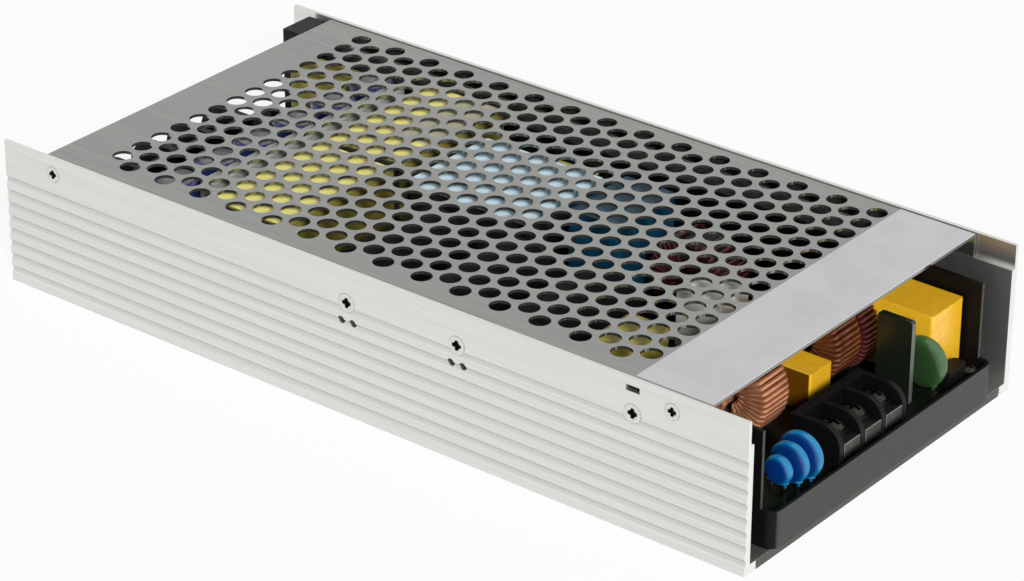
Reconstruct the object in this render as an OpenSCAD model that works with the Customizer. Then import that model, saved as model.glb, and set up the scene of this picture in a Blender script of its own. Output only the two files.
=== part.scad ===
// Slim enclosed mains power supply: a ribbed aluminium channel closed by a perforated
// cover, with an insulated circuit board inside and open ends for the wiring.
// Millimetres. +X points to the mains end, +Z up, origin under the middle of the base.

/* [Channel] */
// Length of the extruded channel
case_l = 238; // [212:1:300]
// Width over the two walls
case_w = 115; // [103:1:150]
// Height of the walls
case_h = 41; // [36.5:0.5:60]
// Thickness of the walls below the cover's seat
wall_t = 2.2; // [1.8:0.1:3]
// Thickness of the floor
floor_t = 2.5; // [2:0.1:4]
// Thickness of the thin rim above the cover's seat
rim_t = 1; // [0.6:0.1:1.2]
// Depth of the cover's seat below the top edge
seat_d = 6.5; // [6:0.1:8]
// Number of long grooves in each wall
groove_n = 8; // [2:1:8]
// Height of the lowest groove
groove_z = 3.5; // [2.5:0.1:4.5]
// Spacing of the grooves
groove_pitch = 3.75; // [2.5:0.05:3.9]
// Width of a groove
groove_w = 1.9; // [1:0.1:2.4]
// Depth of a groove
groove_d = 0.45; // [0.2:0.05:0.7]
// Width of the locating groove under the floor
foot_groove_w = 1.2; // [0.6:0.1:2]
// Depth of the locating groove under the floor
foot_groove_d = 0.8; // [0.3:0.1:1.2]
// Side face to the middle of the locating groove
foot_groove_in = 4.2; // [3.5:0.1:4.6]

/* [Fixing holes] */
// Diameter of the tapped holes in the floor, thread left out
mount_d = 3.3; // [2.5:0.1:4.2]
// Ends of the channel to the floor holes
mount_in_x = 16; // [8:0.5:60]
// Sides of the channel to the floor holes
mount_in_y = 7.5; // [7.2:0.1:7.8]

/* [Cover] */
// Thickness of the cover sheet
cover_t = 0.8; // [0.6:0.1:1.2]
// Clearance between the cover and each rim
cover_fit = 0.2; // [0.1:0.05:0.4]
// Length of wall left open at the mains end
cover_in_ac = 11.5; // [5:0.5:20]
// Length of wall left open at the output end
cover_in_dc = 14.5; // [5:0.5:20]
// Diameter of a ventilation hole
vent_d = 5.5; // [2:0.1:5.6]
// Spacing of the ventilation holes across the case
vent_pitch = 7.3; // [6.8:0.05:12]
// Spacing of the columns of ventilation holes along the case
vent_column = 6.09; // [6:0.01:12]
// Cover's output edge to the first row of hole centres
vent_in_dc = 15.8; // [6:0.1:40]
// Cover's near edge to the first hole centres
vent_in_near = 8.1; // [5:0.1:20]
// Cover's far edge to the last hole centres
vent_in_far = 5.5; // [4:0.1:20]
// Width of the bare label along the mains edge
label_w = 22; // [10:1:40]
// Thickness of the label
label_t = 0.2; // [0.1:0.05:0.4]
// Label's edge to the nearest hole centres
label_gap = 3.2; // [3:0.1:10]
// Cover's ends to the cover screws at the mains end
lid_screw_in_ac = 10.2; // [4:0.1:20]
// Cover's ends to the cover screws at the output end
lid_screw_in_dc = 2.8; // [2.8:0.1:20]
// Height of the cover screws below the top edge
lid_screw_down = 4.8; // [3.6:0.1:5]
// Thread diameter of the cover screws
lid_screw_d = 2.5; // [2:0.1:3]
// Head diameter of the cover screws
lid_head_d = 4.4; // [4:0.1:5]
// Length of the cover screws
lid_screw_l = 2.3; // [2.2:0.1:2.4]

/* [Wall clamps] */
// Cover's seat to the clamp screws below it
clamp_down = 2.7; // [2.6:0.1:5]
// Thread diameter of the clamp screws
clamp_screw_d = 3; // [2.5:0.1:3.2]
// Head diameter of the clamp screws
clamp_head_d = 5; // [4.6:0.1:5.2]
// Mains end of the board to the rectifier's screw
bridge_from_ac = 32.5; // [30:0.5:40]
// Middle of the free wall to the middle of the clamps, towards the output end
clamp_shift = 4.1; // [-8:0.1:8]
// Spacing of the two clamps
clamp_spacing = 34.8; // [34:0.1:40]
// Diameter of the clamp's locating pegs
peg_d = 1.9; // [1:0.1:2]
// Spacing of the two pegs of a clamp
peg_spacing = 3.7; // [3:0.1:3.8]
// Height of the pegs below the clamp screw
peg_down = 5.2; // [4.5:0.1:6]
// Depth of the pegs' ends below the wall's face
peg_recess = 1.4; // [0.2:0.1:1.4]
// Clearance of the pegs and screws in their holes
hole_fit = 0.1; // [0.05:0.05:0.2]
// Thickness of the thermal pads
pad_t = 0.25; // [0.15:0.05:0.5]
// Thickness of the clamp bar
clamp_t = 1.5; // [1:0.1:2]
// Height of the clamp bar
clamp_h = 9; // [8:0.5:10]
// Width of the clamp's middle post
clamp_post_w = 6.4; // [6:0.1:6.6]
// Width of a power transistor
transistor_w = 13; // [10:0.1:13]
// Thickness of a power transistor
transistor_t = 5; // [4:0.1:5.5]
// Board to the underside of the parts on the wall
device_lift = 4.3; // [3.5:0.1:8]
// Width of the bridge rectifier
bridge_w = 25; // [20:0.5:26]
// Thickness of the bridge rectifier
bridge_t = 4.6; // [3.5:0.1:5]
// Width of a lead
lead_w = 1.2; // [0.8:0.1:1.6]
// Thickness of a lead
lead_t = 0.6; // [0.4:0.1:0.8]
// Near edge of the board to the row of leads
lead_in = 2; // [1:0.1:2.2]
// Height at which the leads cross the tray's edge, above the board
lead_rise = 2.4; // [1.5:0.1:2.8]

/* [Pry slot] */
// Length of the slot in the near rim
pry_l = 4; // [2:0.1:6]
// Height of the slot in the near rim
pry_h = 1.6; // [1:0.1:2]
// Top edge to the middle of the slot
pry_down = 2.7; // [2.4:0.1:3.2]

/* [Insulating tray] */
// Thickness of the tray
tray_t = 1; // [0.6:0.1:1.4]
// Clearance between the clamps and the tray
tray_gap = 1.05; // [0.8:0.05:2]
// Length of the tray beyond each end of the channel
lip_out = 1; // [0.5:0.1:2]
// Height of the tray's lip
lip_h = 10; // [9:0.5:12]
// Corner radius of the lip
lip_r = 3; // [1.5:0.5:4]
// Cover's seat to the top of the tray's long sides
side_under_seat = 1.2; // [0.5:0.1:12]
// Mains end of the tray to the long sides
side_in_ac = 4; // [4:0.5:12]
// Output end of the tray to the long sides
side_in_dc = 15; // [15:0.5:25]

/* [Circuit board] */
// Thickness of the board
board_t = 1.6; // [1:0.1:2]
// Clearance around the board in the tray
board_fit = 0.5; // [0.3:0.1:0.6]
// Height of the board spacers
spacer_h = 5.9; // [5:0.1:7]
// Diameter of a spacer
spacer_d = 6; // [5:0.1:7]
// Thread diameter of the board screws
board_screw_d = 3; // [2.5:0.1:3]
// Head diameter of the board screws
board_head_d = 5; // [4.5:0.1:5.2]
// Head height of the board screws
board_head_h = 2; // [1.4:0.1:2.4]
// Length of the board screws below the board
board_screw_l = 3.5; // [2:0.1:4]
// Long edges of the board to the screws
screw_in = 3; // [3:0.1:3.6]
// Mains end of the board to the far corner's screw
screw_1_from_ac = 3.3; // [3:0.1:3.6]
// Mains end of the board to the near corner's screw
screw_2_from_ac = 10.5; // [10:0.1:12]
// Middle of the wall between rectifier and transistors to the near edge's screw
screw_3_shift = 0.2; // [-3:0.1:3]
// Mains end of the board to the far edge's screw
screw_4_from_ac = 98.5; // [96:0.1:100]
// Output end of the board to the far corner's screw
screw_5_from_dc = 4.2; // [3:0.1:5]
// Far edge of the board to the far corner's screw at the output end
screw_5_in = 9.6; // [9:0.1:12]
// Output end of the board to the near corner's screw
screw_6_from_dc = 6.5; // [3:0.1:8]

/* [Mains terminal block] */
// Number of poles
ac_poles = 3; // [2:1:3]
// Spacing of the poles
ac_pitch = 9; // [8:0.1:9.2]
// Depth of the block
ac_depth = 14.5; // [13:0.1:15]
// Height of the block under the plates
ac_base_h = 5.5; // [5:0.1:7]
// Height of the barriers
ac_rib_h = 11; // [10:0.1:14]
// Thickness of a barrier
ac_rib_t = 1.6; // [1.2:0.1:2]
// Thread diameter of the terminal screws
ac_screw_d = 3.5; // [3:0.1:4]
// Head height of the terminal screws
ac_head_h = 2.4; // [1.8:0.1:3]

/* [Output terminal block] */
// Number of poles
dc_poles = 4; // [2:1:4]
// Spacing of the poles
dc_pitch = 14; // [12:0.1:14.4]
// Depth of the block
dc_depth = 18; // [15:0.1:19]
// Height of the block under the plates
dc_base_h = 8; // [6:0.1:10]
// Height of the barriers
dc_rib_h = 16; // [14:0.1:20]
// Thickness of a barrier
dc_rib_t = 2; // [1.4:0.1:2.4]
// Near edge of the board to the block
dc_in = 6; // [6:0.1:10]
// Thread diameter of the terminal screws
dc_screw_d = 4; // [3:0.1:5]
// Head height of the terminal screws
dc_head_h = 3; // [2:0.1:4]

/* [Terminal plates] */
// Thickness of the terminal plates
plate_t = 1; // [0.6:0.1:1.4]
// Depth of the plates' turned-down front edge
plate_drop = 2.6; // [1.5:0.1:4]
// Clearance of the plates between the barriers
plate_fit = 0.4; // [0.2:0.1:0.8]
// Thickness of the blocks' rear wall
block_wall = 2.4; // [1.6:0.1:3]
// Thickness of the terminal screws' square washers
washer_t = 0.8; // [0.5:0.1:1.2]

/* [Disc parts] */
// Diameter of the blue disc capacitor next to the terminal block
y_cap_d_1 = 12.4; // [7:0.1:12.6]
// Diameter of the middle blue disc capacitor
y_cap_d_2 = 10.8; // [7:0.1:12.6]
// Diameter of the outer blue disc capacitor
y_cap_d_3 = 7.6; // [7:0.1:12.6]
// Thickness of a blue disc capacitor
y_cap_t = 3.4; // [2.6:0.1:4.2]
// Spacing of the blue disc capacitors
y_cap_pitch = 4.6; // [4.3:0.1:6]
// Height of the blue discs' middles above the board
y_cap_z = 6.9; // [6.8:0.1:9]
// Gap between the terminal block and the nearest disc
y_cap_gap = 7; // [0.5:0.1:7.5]
// Mains end of the board to the middle of the discs
y_cap_from_ac = 5.5; // [5.5:0.1:10]
// Diameter of the varistor
varistor_d = 13.6; // [10:0.1:14]
// Thickness of the varistor
varistor_t = 4.8; // [3.5:0.1:5.2]
// Mains end of the board to the middle of the varistor
varistor_from_ac = 7.3; // [7:0.1:10]
// Height of the varistor above the board
disc_lift = 0.9; // [0.5:0.1:2]
// Diameter of the disc parts' leads
disc_lead_d = 0.8; // [0.5:0.1:1]

/* [Upright board and fuse] */
// Length of the small upright board
upright_l = 10; // [8:0.1:12]
// Thickness of the small upright board
upright_t = 1.6; // [1:0.1:2]
// Height of the small upright board
upright_h = 23; // [15:0.5:24]
// Corner radius of the small upright board
upright_r = 0.8; // [0.4:0.1:2]
// Mains end of the board to the small upright board
upright_from_ac = 5; // [4:0.1:5.4]
// Gap between the varistor and the small upright board
upright_gap = 5.6; // [0.6:0.1:6]
// Thickness of the fuse
fuse_t = 4; // [3:0.1:4.6]
// Width of the fuse
fuse_w = 8; // [6:0.1:8]
// Height of the fuse
fuse_h = 5; // [4:0.1:9]
// Mains end of the board to the fuse
fuse_from_ac = 1.2; // [0.5:0.1:2]

/* [Film capacitors] */
// Length of the large yellow capacitor
x_cap_l = 31.5; // [20:0.5:34]
// Width of the large yellow capacitor
x_cap_w = 14; // [10:0.1:15]
// Height of the large yellow capacitor
x_cap_h = 18.7; // [14:0.1:24]
// Mains end of the board to the large yellow capacitor
x_cap_from_ac = 7; // [6.6:0.1:9]
// Far edge of the board to the large yellow capacitor
x_cap_in = 0.5; // [0.2:0.1:2]
// Length of the small yellow capacitor
small_cap_l = 18; // [12:0.1:20]
// Width of the small yellow capacitor
small_cap_w = 9.5; // [6:0.1:11]
// Height of the small yellow capacitor
small_cap_h = 10.8; // [8:0.1:16]
// Mains end of the board to the small yellow capacitor
small_cap_from_ac = 21.5; // [20:0.1:24]
// Length of the tall olive capacitor
tall_cap_l = 12; // [8:0.1:12]
// Width of the tall olive capacitor
tall_cap_w = 15; // [10:0.1:18]
// Height of the tall olive capacitor
tall_cap_h = 24; // [16:0.1:25]
// Mains end of the board to the tall olive capacitor
tall_cap_from_ac = 48.5; // [46:0.1:49]
// Near edge of the board to the tall olive capacitor
tall_cap_in = 10; // [8:0.1:14]
// Length of the blue resonant capacitor
resonant_l = 16; // [12:0.1:16]
// Width of the blue resonant capacitor
resonant_w = 25; // [18:0.1:25]
// Height of the blue resonant capacitor
resonant_h = 25; // [16:0.1:26]
// Far edge of the board to the blue resonant capacitor
resonant_in = 8.5; // [8:0.1:12]
// Gap between the blue resonant capacitor and the boost choke
resonant_gap = 0.8; // [0.4:0.1:2]
// Gap between the blue resonant capacitor and the maroon choke
resonant_from_maroon = 4.7; // [1:0.1:6]
// Length of the yellow output capacitor
out_film_l = 17; // [12:0.1:18]
// Width of the yellow output capacitor
out_film_w = 12.5; // [8:0.1:13]
// Height of the yellow output capacitor
out_film_h = 24; // [16:0.1:26]
// Far edge of the board to the yellow output capacitor
out_film_in = 0.5; // [0.2:0.1:2]
// Edge radius of the film capacitors
film_r = 0.8; // [0.4:0.1:1.4]
// Height of the film capacitors' feet
film_foot = 0.4; // [0.2:0.1:0.8]

/* [Ring chokes] */
// Outer radius of the two copper chokes over the wire
choke_r = 11.5; // [9:0.1:12]
// Thickness of the two copper chokes over the wire
choke_t = 11.5; // [9:0.1:12]
// Inner radius of the copper chokes' cores
choke_core_ir = 5.4; // [4.5:0.1:6]
// Wire diameter of the copper chokes
choke_wire = 1.4; // [0.8:0.1:1.6]
// Turns on each half of a choke
choke_turns = 9; // [5:1:10]
// Angle that each half's turns cover
choke_span = 150; // [90:1:165]
// Mains end of the board to the first choke's middle
choke_1_from_ac = 31.7; // [30:0.1:33]
// Mains end of the board to the second choke's middle
choke_2_from_ac = 32.5; // [31.5:0.1:34]
// Gap between the first choke and the small capacitor
choke_1_gap = 9.5; // [1:0.1:12]
// Gap between the second choke and the small capacitor
choke_2_gap = 1.6; // [0.5:0.1:3]
// Outer radius of the dark red choke
red_choke_r = 10.5; // [8:0.1:10.7]
// Thickness of the dark red choke
red_choke_t = 7.5; // [6:0.1:9]
// Inner radius of the dark red choke's core
red_core_ir = 5; // [4:0.1:5.5]
// Mains end of the board to the dark red choke's middle
red_choke_from_ac = 31; // [30.8:0.1:34]
// Outer radius of the maroon choke
maroon_r = 12; // [9:0.1:12]
// Thickness of the maroon choke
maroon_t = 13; // [9:0.1:14]
// Inner radius of the maroon choke's core
maroon_core_ir = 5.5; // [4.5:0.1:6]
// Distance of the maroon choke behind the tall capacitor
maroon_gap = 0.5; // [0.4:0.1:2]
// Far edge of the board to the maroon choke's middle
maroon_in = 21; // [15:0.1:24]
// Wire diameter of the red and maroon chokes
fine_wire = 1.2; // [0.8:0.1:1.4]
// Clearance between a core and its winding
winding_fit = 0.1; // [0.05:0.05:0.3]
// Gap between packed parts
pack_gap = 0.6; // [0.4:0.1:1]

/* [Inrush resistor] */
// Length of the white ceramic resistor
inrush_l = 14; // [8:0.1:14]
// Width of the white ceramic resistor
inrush_w = 12; // [8:0.1:14]
// Height of the white ceramic resistor
inrush_h = 24; // [14:0.1:25]
// Mains end of the board to the resistor
inrush_from_ac = 45.5; // [45:0.1:48]
// Near edge of the board to the resistor
inrush_in = 42; // [36:0.1:46]

/* [Bulk capacitors] */
// Gap between the bulk capacitors and the boost choke
bulk_from_pfc = 4; // [1:0.1:12]
// Gap between the bulk capacitors and the near transformer
bulk_from_transformer = 9; // [1:0.1:12]
// Gap between the bulk capacitors and the cover
bulk_top_gap = 4.7; // [2:0.1:9]
// Near edge of the board to the bulk capacitors
bulk_in = 3; // [2:0.1:4]
// Gap between neighbouring bulk capacitors
bulk_gap = 1; // [0.5:0.1:2]
// Gap between the tall capacitor and the bulk capacitors
bulk_from_tall = 5; // [1:0.1:6]
// Edge radius of the capacitor cans
can_r = 1.2; // [0.8:0.1:2]
// Radius of the crimped groove of a can
can_groove_r = 1; // [0.6:0.1:1.6]

/* [Boost choke] */
// Width of the boost choke across the board
pfc_w = 32; // [26:0.5:33]
// Gap between the boost choke and the transformers
pfc_from_transformer = 6.5; // [2:0.1:8]
// Far edge of the board to the boost choke
pfc_in = 17; // [16:0.5:18]
// Gap between the boost choke's pad and the cover
pfc_gap = 2.8; // [1:0.1:6]
// Thickness of the light blue pad
pfc_pad_t = 1.5; // [0.8:0.1:3]
// Thickness of the ferrite plates and outer legs
ferrite_t = 5; // [3:0.1:6]
// Thickness of the windings round the ferrite middle legs
coil_t = 5; // [2:0.1:5]
// Clearance around those windings in the ferrite
coil_fit = 0.6; // [0.3:0.1:1]
// Side of the ferrite to those windings
coil_edge = 1.3; // [0.5:0.1:2]

/* [Transformers] */
// Width of a taped transformer
transformer_w = 26; // [20:0.1:28]
// Edges of the board to the transformers
transformer_edge = 1; // [0.5:0.1:3]
// Gap between the two transformers
transformer_split = 1.6; // [0.8:0.1:4]
// Gap between the transformers and the cover
transformer_gap = 2.3; // [1.2:0.1:6]
// Thickness of the yellow tape wrap
tape_t = 0.6; // [0.3:0.1:1]
// Thickness of the beige pad on the far transformer
tape_pad_t = 0.8; // [0.4:0.1:1.1]
// Width of the beige pad on the far transformer
tape_pad_w = 12; // [6:0.1:16]
// Length of the beige pad on the far transformer
tape_pad_l = 29; // [15:0.1:36]
// Length of the small auxiliary transformer
aux_l = 16; // [10:0.1:18]
// Width of the small auxiliary transformer
aux_w = 12; // [8:0.1:12.4]
// Height of the small auxiliary transformer
aux_h = 20; // [12:0.1:24]
// Far edge of the board to the auxiliary transformer's middle
aux_in = 9.8; // [9.8:0.1:10.4]

/* [Control board] */
// Gap between the control board and the far transformer
control_from_transformer = 3.5; // [1:0.1:6]
// Mains face of the boost choke to the control board
control_from_pfc = 2; // [0:0.1:4]
// Height of the upright control board
control_h = 22; // [14:0.5:26]
// Far edge of the board to the control board
control_in = 1; // [0.5:0.1:1.4]

/* [Output parts] */
// Length of a bus bar
bus_l = 76; // [50:1:84]
// Gap between the bus bars and the cover
bus_top_gap = 2.3; // [1:0.1:8]
// Thickness of a bus bar
bus_t = 1.5; // [1:0.1:2]
// Spacing of the two bus bars
bus_spacing = 3.4; // [2.6:0.1:3.6]
// Gap between the bus bars and the transformers
bus_gap = 3.4; // [1:0.1:4]
// Number of output capacitors
out_cap_n = 6; // [2:1:6]
// Diameter of an output capacitor
out_cap_d = 12.5; // [8:0.1:12.8]
// Gap between the output capacitors and the cover
out_cap_top_gap = 3.8; // [1:0.1:8]
// Gap between the output terminal block and the output capacitors
out_cap_from_block = 18.4; // [16:0.1:20]
// Edges of the board to the first and last output capacitor's middle
out_cap_in = 7; // [6.5:0.1:10]
// Gap between the output capacitors and the bus bars
out_cap_gap = 1.5; // [0.5:0.1:3]
// Gap between the yellow output capacitor and the output capacitors
out_film_gap = 1.2; // [0.5:0.1:3]
// Length of the adjuster holder along the case
holder_l = 6; // [5:0.1:7]
// Output end of the board to the adjuster holder
holder_in = 6.5; // [6:0.1:7]
// Length of the holder's foot on the board
holder_foot = 5.6; // [4:0.1:6]
// Step from the near face of the holder's foot to its post
holder_step = 3.6; // [3:0.1:3.8]
// Height of the holder's foot
holder_foot_h = 3; // [3:0.1:4]
// Gap between the holder and the top edge of the walls
holder_gap = 1; // [1:0.1:8]
// Clearance between the holder and the far wall
holder_fit = 0.2; // [0.1:0.05:0.4]
// Diameter of the adjuster's access hole
adjuster_d = 5; // [3:0.1:6]
// Height of the access hole below the holder's top
adjuster_down = 7; // [5:0.1:9]

/* [Hidden] */
$fn = 48;
eps = 0.01;
half_l = case_l / 2;
half_w = case_w / 2;
inner_y = half_w - wall_t;
rim_y = half_w - rim_t;
seat_z = case_h - seat_d;

// Cover, from the channel's seat
cover_x0 = -half_l + cover_in_dc;
cover_x1 = half_l - cover_in_ac;
cover_half_w = rim_y - cover_fit;
cover_top = case_h - label_t;
lid_under = cover_top - cover_t;
vent_x0 = cover_x0 + vent_in_dc;
vent_y0 = -cover_half_w + vent_in_near;
label_x0 = cover_x1 - label_w;
vent_columns = floor((label_x0 - label_gap - vent_x0) / vent_column) + 1;
lid_screw_xs = [cover_x0 + lid_screw_in_dc, cover_x1 - lid_screw_in_ac];
lid_screw_z = case_h - lid_screw_down;

// Tray and board, from the parts clamped to the near wall
side_gap = pad_t + transistor_t + clamp_t + tray_gap;
tray_half_w = inner_y - side_gap;
tray_half_l = half_l + lip_out;
tray_side_h = seat_z - side_under_seat - floor_t;
board_half_l = tray_half_l - tray_t - board_fit;
board_half_w = tray_half_w - tray_t - board_fit;
board_z = floor_t + spacer_h;
top_z = board_z + board_t;
ac_x = board_half_l;
dc_x = -board_half_l;
far_y = board_half_w;
near_y = -board_half_w;

// Parts of the mains end, packed from the far edge of the board
x_cap_y = far_y - x_cap_in - x_cap_w / 2;
varistor_y = x_cap_y - x_cap_w / 2 - pack_gap - varistor_t / 2;
red_choke_y = x_cap_y - x_cap_w / 2 - pack_gap - red_choke_t / 2;
upright_y = varistor_y - varistor_t / 2 - upright_gap - upright_t / 2;
choke_2_y = red_choke_y - red_choke_t / 2 - pack_gap - choke_t / 2;
small_cap_y = choke_2_y - choke_t / 2 - choke_2_gap - small_cap_w / 2;
choke_1_y = small_cap_y - small_cap_w / 2 - choke_1_gap - choke_t / 2;
ac_block_w = ac_poles * ac_pitch + ac_rib_t;
y_caps_w = 2 * y_cap_pitch + y_cap_t;
ac_group_w = y_caps_w + y_cap_gap + ac_block_w;
ac_group_y0 = (near_y + upright_y - upright_t / 2 - ac_group_w) / 2;
ac_block_y = ac_group_y0 + ac_group_w - ac_block_w / 2;
y_cap_y = ac_group_y0 + y_caps_w - y_cap_t / 2;
fuse_y = x_cap_y - x_cap_w / 2 + fuse_w / 2;

// Parts of the output end, packed from the output end of the board
dc_block_w = dc_poles * dc_pitch + dc_rib_t;
dc_block_y = near_y + dc_in + dc_block_w / 2;
holder_x = dc_x + holder_in + holder_l / 2;
out_cap_x = dc_x + pack_gap / 2 + dc_depth + out_cap_from_block + out_cap_d / 2;
out_cap_step = (2 * board_half_w - 2 * out_cap_in) / (out_cap_n - 1);
out_cap_h = lid_under - out_cap_top_gap - top_z;
out_film_x = out_cap_x - out_cap_d / 2 - out_film_gap - out_film_l / 2;
bus_x0 = out_cap_x + out_cap_d / 2 + out_cap_gap + bus_t / 2;
bus_xs = [bus_x0, bus_x0 + bus_spacing];
bus_h = lid_under - bus_top_gap - top_z;
transformer_x = bus_xs[1] + bus_t / 2 + bus_gap + transformer_w / 2;
transformer_x1 = transformer_x + transformer_w / 2;
transformer_l = board_half_w - transformer_edge - transformer_split / 2;
transformer_h = lid_under - transformer_gap - top_z;
transformer_ys = [for (side = [-1, 1]) side * (transformer_split + transformer_l) / 2];

// Parts along the middle of the board, between the transformers and the tall capacitor
tall_cap_x = ac_x - tall_cap_from_ac - tall_cap_l / 2;
tall_cap_x0 = tall_cap_x - tall_cap_l / 2;
maroon_x = tall_cap_x0 - maroon_gap - maroon_r;
resonant_x = maroon_x - maroon_r - resonant_from_maroon - resonant_l / 2;
pfc_x0 = transformer_x1 + pfc_from_transformer;
pfc_x1 = resonant_x - resonant_l / 2 - resonant_gap;
pfc_l = pfc_x1 - pfc_x0;
pfc_x = (pfc_x0 + pfc_x1) / 2;
pfc_y = far_y - pfc_in - pfc_w / 2;
pfc_h = lid_under - pfc_gap - pfc_pad_t - top_z;
bulk_run = tall_cap_x0 - bulk_from_tall - transformer_x1 - bulk_from_transformer;
bulk_d = min((bulk_run - 2 * bulk_gap) / 3, lid_under - bulk_top_gap - top_z - winding_fit);
bulk_x1 = tall_cap_x0 - bulk_from_tall - bulk_d / 2;
bulk_xs = [for (i = [0:2]) bulk_x1 - i * (bulk_d + bulk_gap)];
bulk_l = pfc_y - pfc_w / 2 - bulk_from_pfc - near_y - bulk_in;
control_x0 = transformer_x1 + control_from_transformer;
control_l = pfc_x1 - control_from_pfc - control_x0;

// Parts clamped to the near wall
pad_y = -inner_y + pad_t;
bridge_x = ac_x - bridge_from_ac;
clamp_middle = (bridge_x - bridge_w / 2 + transformer_x1) / 2 - clamp_shift;
clamp_xs = [for (side = [1, -1]) clamp_middle + side * clamp_spacing / 2];
clamp_z = seat_z - clamp_down;
transistor_step = clamp_post_w / 2 + pack_gap + transistor_w / 2;
clamp_w = 2 * transistor_step + transistor_w;
device_top = clamp_z + clamp_head_d / 2;
device_z = top_z + device_lift;
device_h = device_top - device_z;
lead_y = near_y + lead_in;
lead_z = top_z + lead_rise;

// Screws of the board
screw_3_x = (bridge_x - bridge_w / 2 + clamp_xs[0] + clamp_w / 2) / 2 + screw_3_shift;
spacer_places = [
    [ac_x - screw_1_from_ac, far_y - screw_in],
    [ac_x - screw_2_from_ac, near_y + screw_in],
    [screw_3_x, near_y + screw_in],
    [ac_x - screw_4_from_ac, far_y - screw_in],
    [dc_x + screw_5_from_dc, far_y - screw_5_in],
    [dc_x + screw_6_from_dc, near_y + screw_in],
];

// A flat outline with round corners
module rounded_rect(l, w, r) {
    square([l - 2 * r, w], center = true);
    square([l, w - 2 * r], center = true);
    for (sx = [-1, 1], sy = [-1, 1])
        translate([sx * (l / 2 - r), sy * (w / 2 - r)]) circle(r);
}

// A block with round upright edges, standing on z = 0
module rounded_block(l, w, h, r) {
    linear_extrude(h) rounded_rect(l, w, r);
}

// A section in Y and Z, drawn out along X
module along_x(l) {
    rotate([90, 0, 90]) linear_extrude(l, center = true) children();
}

// A section in X and Z, drawn out along Y
module along_y(l) {
    rotate([90, 0, 0]) linear_extrude(l, center = true) children();
}

// A countersunk screw along +Y, its head flush with y = 0
module flat_screw(d, head_d, l) {
    cone_h = (head_d - d) / 2;
    slot = head_d * 0.2;
    difference() {
        rotate([-90, 0, 0]) {
            cylinder(d1 = head_d, d2 = d, h = cone_h);
            cylinder(d = d, h = l);
        }
        for (turn = [0, 90]) rotate([0, turn, 0])
            translate([-head_d * 0.28, -eps, -slot / 2]) cube([head_d * 0.56, d * 0.45, slot]);
        rotate([-90, 0, 0]) translate([0, 0, -eps])
            cylinder(d1 = head_d * 0.44, d2 = head_d * 0.2, h = d * 0.55);
    }
}

// The hole that a countersunk screw sits in
module flat_screw_hole(d, head_d, l) {
    cone_h = (head_d - d) / 2;
    rotate([-90, 0, 0]) {
        translate([0, 0, -eps])
            cylinder(d1 = head_d + 2 * hole_fit, d2 = d + 2 * hole_fit, h = cone_h + eps);
        translate([0, 0, -eps]) cylinder(d = d + 2 * hole_fit, h = l + eps);
    }
}

// The slot in the near rim and the cover's flange behind it
module pry_slot() {
    translate([bridge_x - pry_l / 2, -half_w - eps, case_h - pry_down - pry_h / 2])
        cube([pry_l, rim_t + cover_fit + cover_t + 2 * eps, pry_h]);
}

// Section of the extruded channel
module channel_section() {
    groove_r = (pow(groove_w / 2, 2) + pow(groove_d, 2)) / (2 * groove_d);
    difference() {
        translate([-half_w, 0]) square([case_w, case_h]);
        translate([-inner_y, floor_t]) square([2 * inner_y, case_h]);
        translate([-rim_y, seat_z]) square([2 * rim_y, case_h]);
        for (side = [-1, 1]) {
            for (i = [0:groove_n - 1])
                translate([side * (half_w - groove_d + groove_r), groove_z + i * groove_pitch])
                    circle(groove_r);
            translate([side * (half_w - foot_groove_in) - foot_groove_w / 2, -eps])
                square([foot_groove_w, foot_groove_d + eps]);
        }
    }
}

module case_channel() {
    color("gainsboro") difference() {
        along_x(case_l) channel_section();
        for (x = lid_screw_xs, side = [0, 1]) mirror([0, side, 0])
            translate([x, -half_w, lid_screw_z]) flat_screw_hole(lid_screw_d, lid_head_d, wall_t + eps);
        for (x = concat(clamp_xs, [bridge_x]))
            translate([x, -half_w, clamp_z]) flat_screw_hole(clamp_screw_d, clamp_head_d, wall_t + eps);
        for (x = clamp_xs, side = [-1, 1])
            translate([x + side * peg_spacing / 2, -half_w - eps, clamp_z - peg_down])
                rotate([-90, 0, 0]) cylinder(d = peg_d + 2 * hole_fit, h = wall_t + 2 * eps);
        for (sx = [-1, 1], sy = [-1, 1])
            translate([sx * (half_l - mount_in_x), sy * (half_w - mount_in_y), -eps])
                cylinder(d = mount_d, h = floor_t + 2 * eps);
        pry_slot();
    }
}

// Staggered field of ventilation holes
module vent_field() {
    for (i = [0:vent_columns - 1]) {
        y0 = vent_y0 + ((i + 1) % 2) * vent_pitch / 2;
        holes = floor((cover_half_w - vent_in_far - y0) / vent_pitch) + 1;
        for (k = [0:holes - 1])
            translate([vent_x0 + i * vent_column, y0 + k * vent_pitch]) circle(d = vent_d, $fn = 24);
    }
}

module top_cover() {
    cover_l = cover_x1 - cover_x0;
    middle = (cover_x0 + cover_x1) / 2;
    flange_h = cover_top - seat_z;
    color("darkgray") union() {
        translate([0, 0, lid_under]) linear_extrude(cover_t) difference() {
            translate([cover_x0, -cover_half_w + cover_t]) square([cover_l, 2 * (cover_half_w - cover_t)]);
            vent_field();
        }
        for (side = [0, 1]) mirror([0, side, 0]) difference() {
            translate([middle, 0, 0]) along_x(cover_l) {
                translate([-cover_half_w, seat_z]) square([cover_t, flange_h - cover_t]);
                intersection() {
                    translate([-cover_half_w + cover_t, lid_under]) circle(cover_t);
                    translate([-cover_half_w, lid_under]) square(cover_t);
                }
            }
            for (x = lid_screw_xs)
                translate([x, -half_w, lid_screw_z])
                    flat_screw_hole(lid_screw_d, lid_head_d, lid_screw_l + 1);
            if (side == 0) pry_slot();
        }
    }
}

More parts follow.
